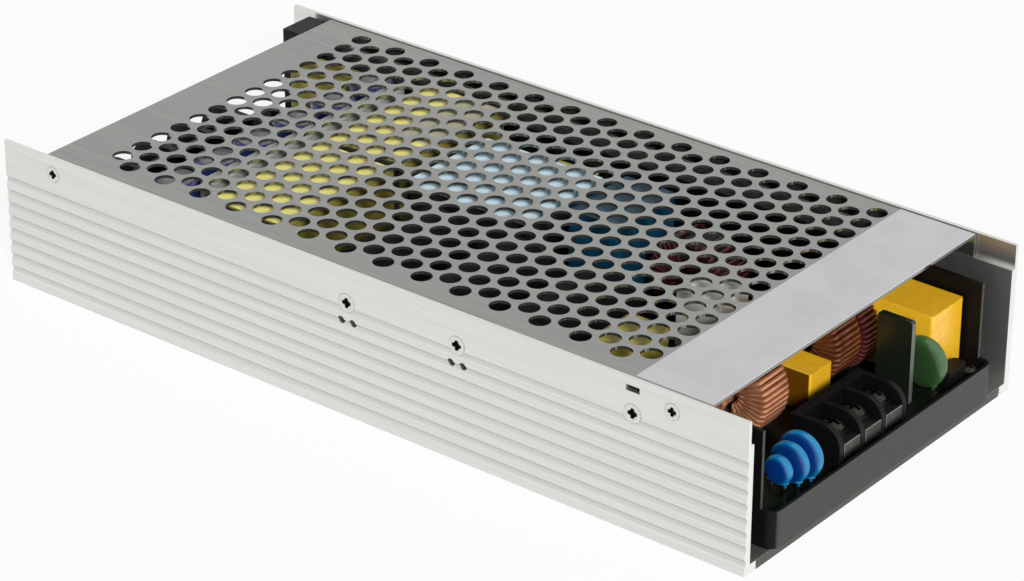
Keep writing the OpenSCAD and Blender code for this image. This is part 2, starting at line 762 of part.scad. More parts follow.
module label_plate() {
    color("whitesmoke") translate([label_x0, -cover_half_w + cover_t, cover_top])
        cube([label_w, 2 * (cover_half_w - cover_t), label_t]);
}

module cover_screws() {
    color("silver") for (x = lid_screw_xs, side = [0, 1]) mirror([0, side, 0])
        translate([x, -half_w, lid_screw_z]) flat_screw(lid_screw_d, lid_head_d, lid_screw_l);
}

// Two screws for the clamps, and one with a nut for the rectifier
module clamp_fasteners() {
    nut_t = clamp_screw_d * 0.8;
    nut_y = pad_y + bridge_t;
    clamp_screw_l = wall_t + pad_t + transistor_t;
    color("silver") {
        for (x = clamp_xs) translate([x, -half_w, clamp_z])
            flat_screw(clamp_screw_d, clamp_head_d, clamp_screw_l - 0.5);
        translate([bridge_x, -half_w, clamp_z])
            flat_screw(clamp_screw_d, clamp_head_d, half_w + nut_y + nut_t);
        translate([bridge_x, nut_y, clamp_z]) rotate([-90, 0, 0]) difference() {
            cylinder(d = clamp_screw_d * 1.8, h = nut_t, $fn = 6);
            translate([0, 0, -eps]) cylinder(d = clamp_screw_d + 2 * hole_fit, h = nut_t + 2 * eps);
        }
    }
}

// Folded tray: floor, low lip all round, tall long sides with gaps for the leads
module insulating_tray() {
    tall_x0 = -tray_half_l + side_in_dc;
    tall_x1 = tray_half_l - side_in_ac;
    color([0.1, 0.1, 0.11]) difference() {
        translate([0, 0, floor_t]) union() {
            rounded_block(2 * tray_half_l, 2 * tray_half_w, tray_t, lip_r);
            linear_extrude(lip_h) difference() {
                rounded_rect(2 * tray_half_l, 2 * tray_half_w, lip_r);
                rounded_rect(2 * (tray_half_l - tray_t), 2 * (tray_half_w - tray_t), lip_r - tray_t);
            }
            for (side = [-1, 1])
                translate([tall_x0, side * (tray_half_w - tray_t / 2) - tray_t / 2, 0])
                    cube([tall_x1 - tall_x0, tray_t, tray_side_h]);
        }
        for (place = spacer_places) translate([place[0], place[1], floor_t - eps])
            cylinder(d = spacer_d + 2 * hole_fit, h = tray_t + 2 * eps);
        for (gap = [[clamp_xs[0], clamp_w], [clamp_xs[1], clamp_w], [bridge_x, bridge_w]])
            translate([gap[0] - gap[1] / 2, -tray_half_w - eps, top_z])
                cube([gap[1], tray_t + 2 * eps, tray_side_h]);
    }
}

module circuit_board() {
    color([0.12, 0.3, 0.2]) translate([0, 0, board_z]) difference() {
        linear_extrude(board_t) rounded_rect(2 * board_half_l, 2 * board_half_w, lip_r - tray_t);
        for (place = spacer_places) translate([place[0], place[1], -eps])
            cylinder(d = board_screw_d + 2 * hole_fit, h = board_t + 2 * eps);
    }
}

module board_spacers() {
    color("gold") for (place = spacer_places) translate([place[0], place[1], floor_t]) difference() {
        cylinder(d = spacer_d, h = spacer_h);
        translate([0, 0, spacer_h - board_screw_l - 0.5])
            cylinder(d = board_screw_d + 2 * hole_fit, h = board_screw_l + 1);
    }
}

// A pan head with a cross recess, standing on z = 0
module pan_head(d, h) {
    slot = d * 0.16;
    difference() {
        rotate_extrude() intersection() {
            square([d / 2, h]);
            translate([0, h - d * 0.7]) circle(d * 0.7);
        }
        for (turn = [0, 90]) rotate([0, 0, turn])
            translate([-d * 0.32, -slot / 2, h * 0.45]) cube([d * 0.64, slot, h]);
    }
}

module board_screws() {
    color("silver") for (place = spacer_places) translate([place[0], place[1], top_z]) {
        pan_head(board_head_d, board_head_h);
        translate([0, 0, -board_t - board_screw_l])
            cylinder(d = board_screw_d, h = board_t + board_screw_l);
    }
}

// Barrier terminal block, its front at x = 0 and its body towards -x
module barrier_block(poles, pitch, depth, base_h, rib_h, rib_t, screw_d) {
    round_r = rib_h - base_h;
    width = poles * pitch + rib_t;
    front = plate_t + plate_fit;
    difference() {
        union() {
            translate([-depth, -width / 2, 0]) cube([depth - front, width, base_h]);
            translate([-depth, -width / 2, 0]) cube([block_wall, width, rib_h]);
            for (i = [0:poles]) translate([0, (i - poles / 2) * pitch, 0]) along_y(rib_t) {
                translate([-depth, 0]) square([depth - round_r, rib_h]);
                translate([-depth, 0]) square([depth, rib_h - round_r]);
                translate([-round_r, rib_h - round_r]) circle(round_r);
            }
        }
        for (i = [0:poles - 1]) translate([-(depth - block_wall) / 2, (i - (poles - 1) / 2) * pitch, eps])
            cylinder(d = screw_d + 2 * hole_fit, h = base_h);
    }
}

// Plates of a barrier block, each turned down over the block's front edge
module barrier_plates(poles, pitch, depth, base_h, rib_t, screw_d) {
    plate_w = pitch - rib_t - 2 * plate_fit;
    plate_l = depth - block_wall - plate_fit;
    for (i = [0:poles - 1]) translate([0, (i - (poles - 1) / 2) * pitch, 0]) difference() {
        along_y(plate_w) {
            translate([-plate_l, base_h]) square([plate_l, plate_t]);
            translate([-plate_t, base_h - plate_drop]) square([plate_t, plate_drop + plate_t]);
        }
        translate([-(depth - block_wall) / 2, 0, base_h - eps])
            cylinder(d = screw_d + 2 * hole_fit, h = plate_t + 2 * eps);
    }
}

// Screws of a barrier block, each with its square washer
module barrier_screws(poles, pitch, depth, base_h, rib_t, screw_d, head_h) {
    washer_w = pitch - rib_t - 2 * plate_fit;
    for (i = [0:poles - 1])
        translate([-(depth - block_wall) / 2, (i - (poles - 1) / 2) * pitch, base_h + plate_t]) {
            translate([0, 0, washer_t / 2]) cube([washer_w, washer_w, washer_t], center = true);
            translate([0, 0, washer_t]) pan_head(washer_w * 0.94, head_h);
            translate([0, 0, 1 - base_h - plate_t]) cylinder(d = screw_d, h = base_h + plate_t);
        }
}

// Places children at the mains block's front face, on the board
module at_ac_block() {
    translate([ac_x - pack_gap / 2, ac_block_y, top_z]) children();
}

// Places children at the output block's front face, turned to the output end
module at_dc_block() {
    translate([dc_x + pack_gap / 2, dc_block_y, top_z]) mirror([1, 0, 0]) children();
}

module ac_terminal_block() {
    color([0.08, 0.08, 0.09]) at_ac_block()
        barrier_block(ac_poles, ac_pitch, ac_depth, ac_base_h, ac_rib_h, ac_rib_t, ac_screw_d);
}

module ac_terminal_plates() {
    color("lightgray") at_ac_block()
        barrier_plates(ac_poles, ac_pitch, ac_depth, ac_base_h, ac_rib_t, ac_screw_d);
}

module ac_terminal_screws() {
    color("silver") at_ac_block()
        barrier_screws(ac_poles, ac_pitch, ac_depth, ac_base_h, ac_rib_t, ac_screw_d, ac_head_h);
}

module dc_terminal_block() {
    color([0.08, 0.08, 0.09]) at_dc_block()
        barrier_block(dc_poles, dc_pitch, dc_depth, dc_base_h, dc_rib_h, dc_rib_t, dc_screw_d);
}

module dc_terminal_plates() {
    color("lightgray") at_dc_block()
        barrier_plates(dc_poles, dc_pitch, dc_depth, dc_base_h, dc_rib_t, dc_screw_d);
}

module dc_terminal_screws() {
    color("silver") at_dc_block()
        barrier_screws(dc_poles, dc_pitch, dc_depth, dc_base_h, dc_rib_t, dc_screw_d, dc_head_h);
}

// A dipped disc on two leads, its axis along Y, standing on z = 0
module disc_part(d, t, middle_z) {
    edge_r = t * 0.32;
    translate([0, 0, middle_z]) rotate([90, 0, 0]) rotate_extrude() {
        translate([0, -t / 2]) square([d / 2 - edge_r, t]);
        translate([0, -t / 2 + edge_r]) square([d / 2, t - 2 * edge_r]);
        for (side = [-1, 1]) translate([d / 2 - edge_r, side * (t / 2 - edge_r)]) circle(edge_r);
    }
    for (side = [-1, 1]) translate([side * d * 0.24, 0, 0])
        cylinder(d = disc_lead_d, h = middle_z - d * 0.3);
}

module y_capacitor(i) {
    color([0.1, 0.45, 0.85]) translate([ac_x - y_cap_from_ac, y_cap_y - i * y_cap_pitch, top_z])
        disc_part([y_cap_d_1, y_cap_d_2, y_cap_d_3][i], y_cap_t, y_cap_z);
}

module varistor() {
    color([0.25, 0.5, 0.3]) translate([ac_x - varistor_from_ac, varistor_y, top_z])
        disc_part(varistor_d, varistor_t, disc_lift + varistor_d / 2);
}

// Small board soldered upright by its lower edge
module upright_board() {
    middle = [ac_x - upright_from_ac - upright_l / 2, upright_y, top_z + upright_h / 2];
    color([0.1, 0.2, 0.14]) translate(middle)
        along_y(upright_t) rounded_rect(upright_l, upright_h, upright_r);
}

module fuse() {
    color([0.12, 0.12, 0.16]) translate([ac_x - fuse_from_ac - fuse_t / 2, fuse_y, top_z])
        rounded_block(fuse_t, fuse_w, fuse_h, fuse_t * 0.3);
}

// Moulded film capacitor on four low feet
module film_capacitor(l, w, h) {
    foot = w * 0.18;
    translate([0, 0, film_foot]) rounded_block(l, w, h - film_foot, film_r);
    for (sx = [-1, 1], sy = [-1, 1])
        translate([sx * (l / 2 - foot), sy * (w / 2 - foot), 0]) cylinder(d = foot, h = film_foot + eps);
}

module x_capacitor() {
    color([0.98, 0.72, 0.1]) translate([ac_x - x_cap_from_ac - x_cap_l / 2, x_cap_y, top_z])
        film_capacitor(x_cap_l, x_cap_w, x_cap_h);
}

module filter_capacitor_1() {
    color([0.95, 0.68, 0.1]) translate([ac_x - small_cap_from_ac - small_cap_l / 2, small_cap_y, top_z])
        film_capacitor(small_cap_l, small_cap_w, small_cap_h);
}

module filter_capacitor_2() {
    color([0.75, 0.68, 0.3]) translate([tall_cap_x, near_y + tall_cap_in + tall_cap_w / 2, top_z])
        film_capacitor(tall_cap_l, tall_cap_w, tall_cap_h);
}

module resonant_capacitor() {
    color([0.1, 0.4, 0.55]) translate([resonant_x, far_y - resonant_in - resonant_w / 2, top_z])
        film_capacitor(resonant_l, resonant_w, resonant_h);
}

module output_filter_capacitor() {
    color([0.8, 0.75, 0.35]) translate([out_film_x, far_y - out_film_in - out_film_w / 2, top_z])
        film_capacitor(out_film_l, out_film_w, out_film_h);
}

// A flat outline with bevelled corners
module bevelled_rect(l, w, c) {
    polygon([
        [l / 2 - c, -w / 2], [l / 2, c - w / 2], [l / 2, w / 2 - c], [l / 2 - c, w / 2],
        [c - l / 2, w / 2], [-l / 2, w / 2 - c], [-l / 2, c - w / 2], [c - l / 2, -w / 2],
    ]);
}

// Section of a ring core inside a winding of outer radius r, grown by a margin
module ring_section(r, t, core_ir, wire, margin) {
    core_or = r - wire - winding_fit;
    core_t = t - 2 * (wire + winding_fit);
    translate([(core_or + core_ir) / 2, 0])
        bevelled_rect(core_or - core_ir + 2 * margin, core_t + 2 * margin, 0.6 * (1 + margin));
}

// Ring core, its axis along Y
module ring_core(r, t, core_ir, wire) {
    rotate([90, 0, 0]) rotate_extrude() ring_section(r, t, core_ir, wire, 0);
}

// Two halves of ring winding, with a groove between each turn and the next
module ring_winding(r, t, core_ir, wire) {
    step = choke_span / choke_turns;
    full = winding_fit + wire;
    for (half = [0, 180]) rotate([90, 0, 0]) rotate([0, 0, half - choke_span / 2]) difference() {
        rotate_extrude(angle = choke_span) difference() {
            ring_section(r, t, core_ir, wire, full);
            ring_section(r, t, core_ir, wire, winding_fit);
        }
        for (i = [1:choke_turns - 1]) rotate([0, 0, (i - 0.18) * step])
            rotate_extrude(angle = step * 0.36) difference() {
                ring_section(r, t, core_ir, wire, full + 1);
                ring_section(r, t, core_ir, wire, full - wire * 0.45);
            }
    }
}

// Places children at the middle of ring choke number i, just clear of the board
module at_ring(i) {
    places = [
        [ac_x - choke_1_from_ac, choke_1_y, choke_r],
        [ac_x - choke_2_from_ac, choke_2_y, choke_r],
        [ac_x - red_choke_from_ac, red_choke_y, red_choke_r],
        [maroon_x, far_y - maroon_in, maroon_r],
    ];
    ring_z = top_z + winding_fit + places[i][2] * sin(choke_span / 2);
    translate([places[i][0], places[i][1], ring_z]) children();
}

module line_choke_1_core() {
    color("dimgray") at_ring(0) ring_core(choke_r, choke_t, choke_core_ir, choke_wire);
}

module line_choke_1_winding() {
    color([0.8, 0.45, 0.3]) at_ring(0) ring_winding(choke_r, choke_t, choke_core_ir, choke_wire);
}

module line_choke_2_core() {
    color("dimgray") at_ring(1) ring_core(choke_r, choke_t, choke_core_ir, choke_wire);
}

module line_choke_2_winding() {
    color([0.7, 0.36, 0.24]) at_ring(1) ring_winding(choke_r, choke_t, choke_core_ir, choke_wire);
}

module line_choke_3_core() {
    color("dimgray") at_ring(2) ring_core(red_choke_r, red_choke_t, red_core_ir, fine_wire);
}

module line_choke_3_winding() {
    color([0.4, 0.12, 0.1]) at_ring(2) ring_winding(red_choke_r, red_choke_t, red_core_ir, fine_wire);
}

module line_choke_4_core() {
    color("dimgray") at_ring(3) ring_core(maroon_r, maroon_t, maroon_core_ir, fine_wire);
}

module line_choke_4_winding() {
    color([0.35, 0.12, 0.12]) at_ring(3) ring_winding(maroon_r, maroon_t, maroon_core_ir, fine_wire);
}

// A lead from a device on the wall, down, in over the tray's edge and onto the board
module wall_lead(x, device_y) {
    translate([x, 0, 0]) along_x(lead_w) {
        translate([device_y, lead_z]) square([lead_t, device_z + eps - lead_z]);
        translate([device_y, lead_z]) square([lead_y - device_y, lead_t]);
        translate([lead_y - lead_t, top_z]) square([lead_t, lead_z - top_z + lead_t]);
    }
}

// Flat rectifier screwed to the wall through its hole
module bridge_rectifier() {
    color([0.13, 0.13, 0.14]) {
        difference() {
            translate([bridge_x, pad_y + bridge_t / 2, 0]) along_y(bridge_t) difference() {
                translate([-bridge_w / 2, device_z]) square([bridge_w, device_h]);
                translate([bridge_w / 2, device_top]) rotate(45) square(3, center = true);
            }
            translate([bridge_x, pad_y - eps, clamp_z]) rotate([-90, 0, 0])
                cylinder(d = clamp_screw_d + 2 * hole_fit, h = bridge_t + 2 * eps);
        }
        for (i = [0:3]) wall_lead(bridge_x + (i - 1.5) * bridge_w * 0.27, pad_y + bridge_t / 2);
    }
}

// Two transistors side by side under one clamp
module transistor_pair(x) {
    color([0.13, 0.13, 0.14]) for (side = [-1, 1]) {
        middle = x + side * transistor_step;
        translate([middle, pad_y + transistor_t / 2, device_z])
            rounded_block(transistor_w, transistor_t, device_h, 0.6);
        for (i = [-1:1]) wall_lead(middle + i * transistor_w * 0.33, pad_y + transistor_t / 2);
    }
}

// Clamp bar across two transistors, with a post and two pegs that locate in the wall
module transistor_clamp(x) {
    bar_y = pad_y + transistor_t;
    post_z = clamp_z - peg_down - peg_d;
    color("silver") difference() {
        union() {
            translate([x - clamp_w / 2, bar_y, device_top - clamp_h]) cube([clamp_w, clamp_t, clamp_h]);
            translate([x - clamp_post_w / 2, -inner_y, post_z])
                cube([clamp_post_w, bar_y + inner_y + clamp_t, device_top - post_z]);
            for (side = [-1, 1])
                translate([x + side * peg_spacing / 2, -half_w + peg_recess, clamp_z - peg_down])
                    rotate([-90, 0, 0]) cylinder(d = peg_d, h = wall_t);
        }
        translate([x, -inner_y - eps, clamp_z]) rotate([-90, 0, 0])
            cylinder(d = clamp_screw_d + 2 * hole_fit, h = pad_t + transistor_t);
    }
}

// Thin pads between the devices and the wall, cut out round each clamp's post
module thermal_pads() {
    color([0.75, 0.75, 0.8]) {
        for (x = clamp_xs, side = [-1, 1])
            translate([x + side * transistor_step - transistor_w / 2, -inner_y, device_z])
                cube([transistor_w, pad_t, device_h]);
        difference() {
            translate([bridge_x - bridge_w / 2, -inner_y, device_z]) cube([bridge_w, pad_t, device_h]);
            translate([bridge_x, -inner_y - eps, clamp_z]) rotate([-90, 0, 0])
                cylinder(d = clamp_screw_d + 2 * hole_fit, h = pad_t + 2 * eps);
        }
    }
}

module inrush_resistor() {
    middle = [ac_x - inrush_from_ac - inrush_l / 2, near_y + inrush_in + inrush_w / 2, top_z];
    color("ivory") translate(middle) difference() {
        rounded_block(inrush_l, inrush_w, inrush_h, film_r);
        translate([-inrush_l * 0.35, -inrush_w * 0.32, inrush_h - 1])
            cube([inrush_l * 0.7, inrush_w * 0.64, 2]);
    }
}

// Capacitor can standing on z = 0, with round edges and a crimped groove near its base
module can(d, h) {
    rotate_extrude() difference() {
        union() {
            square([d / 2 - can_r, h]);
            translate([0, can_r]) square([d / 2, h - 2 * can_r]);
            for (z = [can_r, h - can_r]) translate([d / 2 - can_r, z]) circle(can_r);
        }
        translate([d / 2 + can_groove_r * 0.4, can_r + 2 * can_groove_r]) circle(can_groove_r);
    }
}

// Bulk capacitors lie across the board, their bases to the near wall
module bulk_capacitor(i) {
    color([0.14, 0.14, 0.16])
        translate([bulk_xs[i], near_y + bulk_in, top_z + winding_fit + bulk_d / 2])
            rotate([-90, 0, 0]) can(bulk_d, bulk_l);
}

// Radius of the winding round a ferrite core's middle leg, as large as fits both ways
function coil_r(l, w) = min(l / 2 - ferrite_t - coil_fit, w / 2 - coil_edge);

// Ferrite core with a round middle leg and two curved outer legs along X
module pot_core(l, w, h) {
    r = coil_r(l, w);
    for (z = [0, h - ferrite_t]) translate([0, 0, z]) rounded_block(l, w, ferrite_t, 1);
    cylinder(r = r - coil_t, h = h);
    difference() {
        rounded_block(l, w, h, 1);
        translate([0, 0, -eps]) cylinder(r = r + coil_fit, h = h + 2 * eps);
        translate([-r, -w, -eps]) cube([2 * r, 2 * w, h + 2 * eps]);
    }
}

// Winding round a ferrite core's middle leg
module pot_winding(l, w, h) {
    r = coil_r(l, w);
    translate([0, 0, ferrite_t + winding_fit]) difference() {
        cylinder(r = r, h = h - 2 * (ferrite_t + winding_fit));
        translate([0, 0, -eps]) cylinder(r = r - coil_t + winding_fit, h = h);
    }
}

// Places children at the base of the boost choke, its legs along Y
module at_pfc() {
    translate([pfc_x, pfc_y, top_z]) rotate([0, 0, 90]) children();
}

module pfc_choke_core() {
    color("dimgray") at_pfc() pot_core(pfc_w, pfc_l, pfc_h);
}

module pfc_choke_winding() {
    color([0.75, 0.42, 0.28]) at_pfc() pot_winding(pfc_w, pfc_l, pfc_h);
}

module pfc_choke_pad() {
    color([0.72, 0.84, 0.92]) at_pfc() translate([0, 0, pfc_h]) rounded_block(pfc_w, pfc_l, pfc_pad_t, 1);
}

// Places children at the base of transformer number i, its long side along Y
module at_transformer(i) {
    translate([transformer_x, transformer_ys[i], top_z]) rotate([0, 0, 90]) children();
}

module transformer_core(i) {
    skin = tape_t + winding_fit;
    color("dimgray") at_transformer(i) translate([0, 0, skin])
        pot_core(transformer_l, transformer_w - 2 * skin, transformer_h - 2 * skin);
}

module transformer_winding(i) {
    skin = tape_t + winding_fit;
    color([0.75, 0.42, 0.28]) at_transformer(i) translate([0, 0, skin])
        pot_winding(transformer_l, transformer_w - 2 * skin, transformer_h - 2 * skin);
}

// Tape wrapped round the core, open at the two ends
module transformer_tape(i) {
    color([0.9, 0.87, 0.5]) at_transformer(i) translate([0, 0, transformer_h / 2])
        along_x(transformer_l - 2 * tape_t) difference() {
            rounded_rect(transformer_w, transformer_h, 0.3 + tape_t);
            rounded_rect(transformer_w - 2 * tape_t, transformer_h - 2 * tape_t, 0.3);
        }
}

module transformer_pad() {
    pad_x = transformer_x + transformer_w / 2 - tape_pad_w - 1;
    pad_far_y = transformer_ys[1] + transformer_l / 2 - 2;
    color([0.72, 0.69, 0.62]) translate([pad_x, pad_far_y - tape_pad_l, top_z + transformer_h])
        cube([tape_pad_w, tape_pad_l, tape_pad_t]);
}

module aux_transformer() {
    color([0.85, 0.8, 0.4]) translate([pfc_x, far_y - aux_in, top_z]) {
        rounded_block(aux_l, aux_w, 3, 0.6);
        translate([0, 0, 3]) rounded_block(aux_l - 3, aux_w, aux_h - 6, 2);
        translate([0, 0, aux_h - 3]) rounded_block(aux_l, aux_w, 3, 0.6);
    }
}

module control_board() {
    corner = [control_x0, far_y - control_in - board_t, top_z];
    color([0.12, 0.3, 0.2]) translate(corner) cube([control_l, board_t, control_h]);
}

// Plated bars on edge, notched along their feet
module bus_bars() {
    notches = 5;
    step = bus_l / (notches + 1);
    notch = step * 0.55;
    color("lightgray") for (x = bus_xs) translate([x, 0, top_z]) along_x(bus_t) difference() {
        translate([-bus_l / 2, 0]) square([bus_l, bus_h]);
        for (i = [1:notches]) translate([-bus_l / 2 + i * step - notch / 2, -eps]) square([notch, 2.5]);
    }
}

module output_capacitors() {
    color([0.13, 0.17, 0.36]) for (i = [0:out_cap_n - 1])
        translate([out_cap_x, near_y + out_cap_in + i * out_cap_step, top_z]) can(out_cap_d, out_cap_h);
}

// Moulded post by the far wall with an access hole for the output adjuster
module adjuster_holder() {
    holder_far = inner_y - holder_fit;
    holder_near = far_y - holder_foot;
    post_near = holder_near + holder_step;
    holder_top = case_h - holder_gap;
    post_z = top_z + holder_foot_h;
    color([0.1, 0.1, 0.11]) difference() {
        translate([holder_x, 0, 0]) along_x(holder_l) {
            translate([holder_near, top_z]) square([holder_foot, holder_foot_h + eps]);
            translate([post_near, post_z]) square([holder_far - post_near, holder_top - post_z]);
        }
        translate([holder_x, (post_near + holder_far) / 2, holder_top - adjuster_down])
            rotate([0, 90, 0]) cylinder(d = adjuster_d, h = holder_l + 2 * eps, center = true);
    }
}

case_channel();
top_cover();
label_plate();
cover_screws();
clamp_fasteners();
insulating_tray();
circuit_board();
board_spacers();
board_screws();
ac_terminal_block();
ac_terminal_plates();
ac_terminal_screws();
for (i = [0:2]) y_capacitor(i);
varistor();
upright_board();
fuse();
x_capacitor();
filter_capacitor_1();
filter_capacitor_2();
line_choke_1_core();
line_choke_1_winding();
line_choke_2_core();
line_choke_2_winding();
line_choke_3_core();
line_choke_3_winding();
line_choke_4_core();
line_choke_4_winding();
bridge_rectifier();
for (i = [0:1]) transistor_pair(clamp_xs[i]);
for (i = [0:1]) transistor_clamp(clamp_xs[i]);
thermal_pads();
inrush_resistor();
for (i = [0:2]) bulk_capacitor(i);
pfc_choke_core();
pfc_choke_winding();
pfc_choke_pad();
resonant_capacitor();
for (i = [0:1]) transformer_core(i);
for (i = [0:1]) transformer_winding(i);
for (i = [0:1]) transformer_tape(i);
transformer_pad();
aux_transformer();
control_board();
bus_bars();
output_capacitors();
output_filter_capacitor();
dc_terminal_block();
dc_terminal_plates();
dc_terminal_screws();
adjuster_holder();
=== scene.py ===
"""Slim enclosed mains power supply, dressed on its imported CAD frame."""

import math

import bpy
from mathutils import Matrix, Vector


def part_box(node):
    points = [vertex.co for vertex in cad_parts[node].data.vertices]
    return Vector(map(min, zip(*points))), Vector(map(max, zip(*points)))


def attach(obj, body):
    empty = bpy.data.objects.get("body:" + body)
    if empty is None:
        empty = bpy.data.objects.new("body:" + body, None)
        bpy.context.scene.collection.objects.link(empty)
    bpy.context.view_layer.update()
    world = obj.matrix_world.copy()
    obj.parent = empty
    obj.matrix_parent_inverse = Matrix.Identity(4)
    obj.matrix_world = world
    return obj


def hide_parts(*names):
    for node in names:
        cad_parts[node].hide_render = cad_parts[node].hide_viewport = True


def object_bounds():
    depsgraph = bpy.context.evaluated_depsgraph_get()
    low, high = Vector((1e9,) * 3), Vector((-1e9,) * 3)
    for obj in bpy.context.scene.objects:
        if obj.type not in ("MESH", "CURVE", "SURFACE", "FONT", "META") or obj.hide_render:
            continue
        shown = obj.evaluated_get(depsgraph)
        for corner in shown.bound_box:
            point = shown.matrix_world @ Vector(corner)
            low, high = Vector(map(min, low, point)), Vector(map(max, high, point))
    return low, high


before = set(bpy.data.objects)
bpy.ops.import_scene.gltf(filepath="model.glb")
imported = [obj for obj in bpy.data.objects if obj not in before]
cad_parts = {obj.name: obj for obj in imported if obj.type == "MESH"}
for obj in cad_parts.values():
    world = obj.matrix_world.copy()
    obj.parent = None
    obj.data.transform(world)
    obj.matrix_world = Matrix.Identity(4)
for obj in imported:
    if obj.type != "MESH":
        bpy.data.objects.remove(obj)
cad_low, cad_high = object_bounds()

# Camera: a long lens on the mains end, as in the photograph. Its place was fitted to the
# corners of the case, whose size is known.
MM = 0.001
azimuth, elevation, roll = (math.radians(degrees) for degrees in (38.398, 27.634, 0.234))
distance_mm, aside_mm, raised_mm = 974.11, 3.722, 10.948
lens_mm, sensor_mm = 132.14, 36.0
back = Vector((
    math.sin(azimuth) * math.cos(elevation),
    -math.cos(azimuth) * math.cos(elevation),
    math.sin(elevation),
))
level = Vector((math.cos(azimuth), math.sin(azimuth), 0.0))
right = math.cos(roll) * level + math.sin(roll) * back.cross(level)
up = back.cross(right)
camera = bpy.data.objects.new("camera", bpy.data.cameras.new("camera"))
camera.data.lens = lens_mm
camera.data.sensor_width = sensor_mm
camera.data.clip_start = 50 * MM
stand = (distance_mm * back + aside_mm * right + raised_mm * up) * MM
turn = Matrix((right, up, back)).transposed().to_4x4()
camera.matrix_world = Matrix.Translation(stand) @ turn
bpy.context.scene.collection.objects.link(camera)
bpy.context.scene.camera = camera

# Studio: a white surround and floor that the camera and the metal see at full strength, with
# a part of it as fill light, and one soft lamp to the right of the camera. Reflections leave
# the lamp out, so the satin metal glares from no side.


def add_node(tree, kind, values=None, links=None, **settings):
    """A node with its settings, its constant inputs and its links."""
    made = tree.nodes.new(kind)
    for key, value in settings.items():
        setattr(made, key, value)
    for key, value in (values or {}).items():
        made.inputs[key].default_value = value
    for key, socket in (links or {}).items():
        tree.links.new(socket, made.inputs[key])
    return made


def seen_directly(tree):
    """A factor of 1 where the camera, a reflection or a transmission looks."""
    ray = add_node(tree, "ShaderNodeLightPath")
    first = add_node(
        tree, "ShaderNodeMath", operation="MAXIMUM",
        links={0: ray.outputs["Is Camera Ray"], 1: ray.outputs["Is Glossy Ray"]},
    )
    both = add_node(
        tree, "ShaderNodeMath", operation="MAXIMUM",
        links={0: first.outputs[0], 1: ray.outputs["Is Transmission Ray"]},
    )
    return both.outputs[0]


def to_linear(code):
    """Linear colour of an sRGB hex code."""
    parts = [int(code[i:i + 2], 16) / 255 for i in (0, 2, 4)]
    return [p / 12.92 if p <= 0.04045 else ((p + 0.055) / 1.055) ** 2.4 for p in parts] + [1.0]


white_colour, full_white, fill_share = to_linear("ffffff"), 1.0, 0.2
studio = bpy.data.worlds.new("white_studio")
studio.use_nodes = True
sky = studio.node_tree
sky.nodes.clear()
fill = add_node(sky, "ShaderNodeBackground", {"Color": white_colour, "Strength": fill_share})
white = add_node(sky, "ShaderNodeBackground", {"Color": white_colour, "Strength": full_white})
either = add_node(
    sky, "ShaderNodeMixShader",
    links={0: seen_directly(sky), 1: fill.outputs[0], 2: white.outputs[0]},
)
add_node(sky, "ShaderNodeOutputWorld", links={"Surface": either.outputs[0]})
bpy.context.scene.world = studio
bpy.context.scene.view_settings.view_transform = "Standard"

lamp_strength, lamp_spread = 4.0, math.radians(12)
lamp_way = Vector((-0.670, 0.562, -0.485))
lamp = bpy.data.objects.new("soft_lamp", bpy.data.lights.new("soft_lamp", "SUN"))
lamp.data.energy = lamp_strength
lamp.data.angle = lamp_spread
lamp.visible_glossy = False
lamp.rotation_euler = lamp_way.to_track_quat("-Z", "Y").to_euler()
bpy.context.scene.collection.objects.link(lamp)

# Matt white paper. It shows as plain white, with a tenth of its own shading for the shadow.
paper_glow = 0.9
paper = bpy.data.materials.new("white_paper")
paper.use_nodes = True
paper_tree = paper.node_tree
paper_tree.nodes.clear()
matte = add_node(paper_tree, "ShaderNodeBsdfDiffuse", {"Color": to_linear("ededed")})
plain = add_node(paper_tree, "ShaderNodeEmission", {"Color": white_colour, "Strength": full_white})
mostly = add_node(
    paper_tree, "ShaderNodeMath", {1: paper_glow}, {0: seen_directly(paper_tree)}, operation="MULTIPLY",
)
paper_mix = add_node(
    paper_tree, "ShaderNodeMixShader",
    links={0: mostly.outputs[0], 1: matte.outputs[0], 2: plain.outputs[0]},
)
add_node(paper_tree, "ShaderNodeOutputMaterial", links={"Surface": paper_mix.outputs[0]})
half_floor, below = 3000 * MM, -0.2 * MM
corners = [(x * half_floor, y * half_floor, below) for x, y in ((-1, -1), (1, -1), (1, 1), (-1, 1))]
ground = bpy.data.meshes.new("floor")
ground.from_pydata(corners, [], [(0, 1, 2, 3)])
ground.materials.append(paper)
floor = bpy.data.objects.new("floor", ground)
bpy.context.scene.collection.objects.link(floor)

# Channel: an aluminium extrusion with long grooves, sawn to length and then anodised. It is the
# floor and two walls of the case, and everything else is fixed in it.


def lay_over(made, mask, code):
    """Lays one more colour over the finish where the mask is 1."""
    tree = made.node_tree
    skin = next(n for n in tree.nodes if n.type == "BSDF_PRINCIPLED")
    under = skin.inputs["Base Color"].links[0].from_socket
    mixed = add_node(
        tree, "ShaderNodeMix", {7: to_linear(code)}, {0: mask, 6: under}, data_type="RGBA",
    )
    tree.links.new(mixed.outputs[2], skin.inputs["Base Color"])


def facing(made, axis, none, full, one_way=False):
    """A mask that grows as a face turns to look along an axis, or away from it."""
    tree = made.node_tree
    flat = add_node(tree, "ShaderNodeNewGeometry")
    apart = add_node(tree, "ShaderNodeSeparateXYZ", links={0: flat.outputs["Normal"]})
    turned = apart.outputs[axis]
    if not one_way:
        turned = add_node(tree, "ShaderNodeMath", links={0: turned}, operation="ABSOLUTE").outputs[0]
    chosen = add_node(
        tree, "ShaderNodeMapRange", {"From Min": none, "From Max": full}, {"Value": turned},
    )
    return chosen.outputs[0]


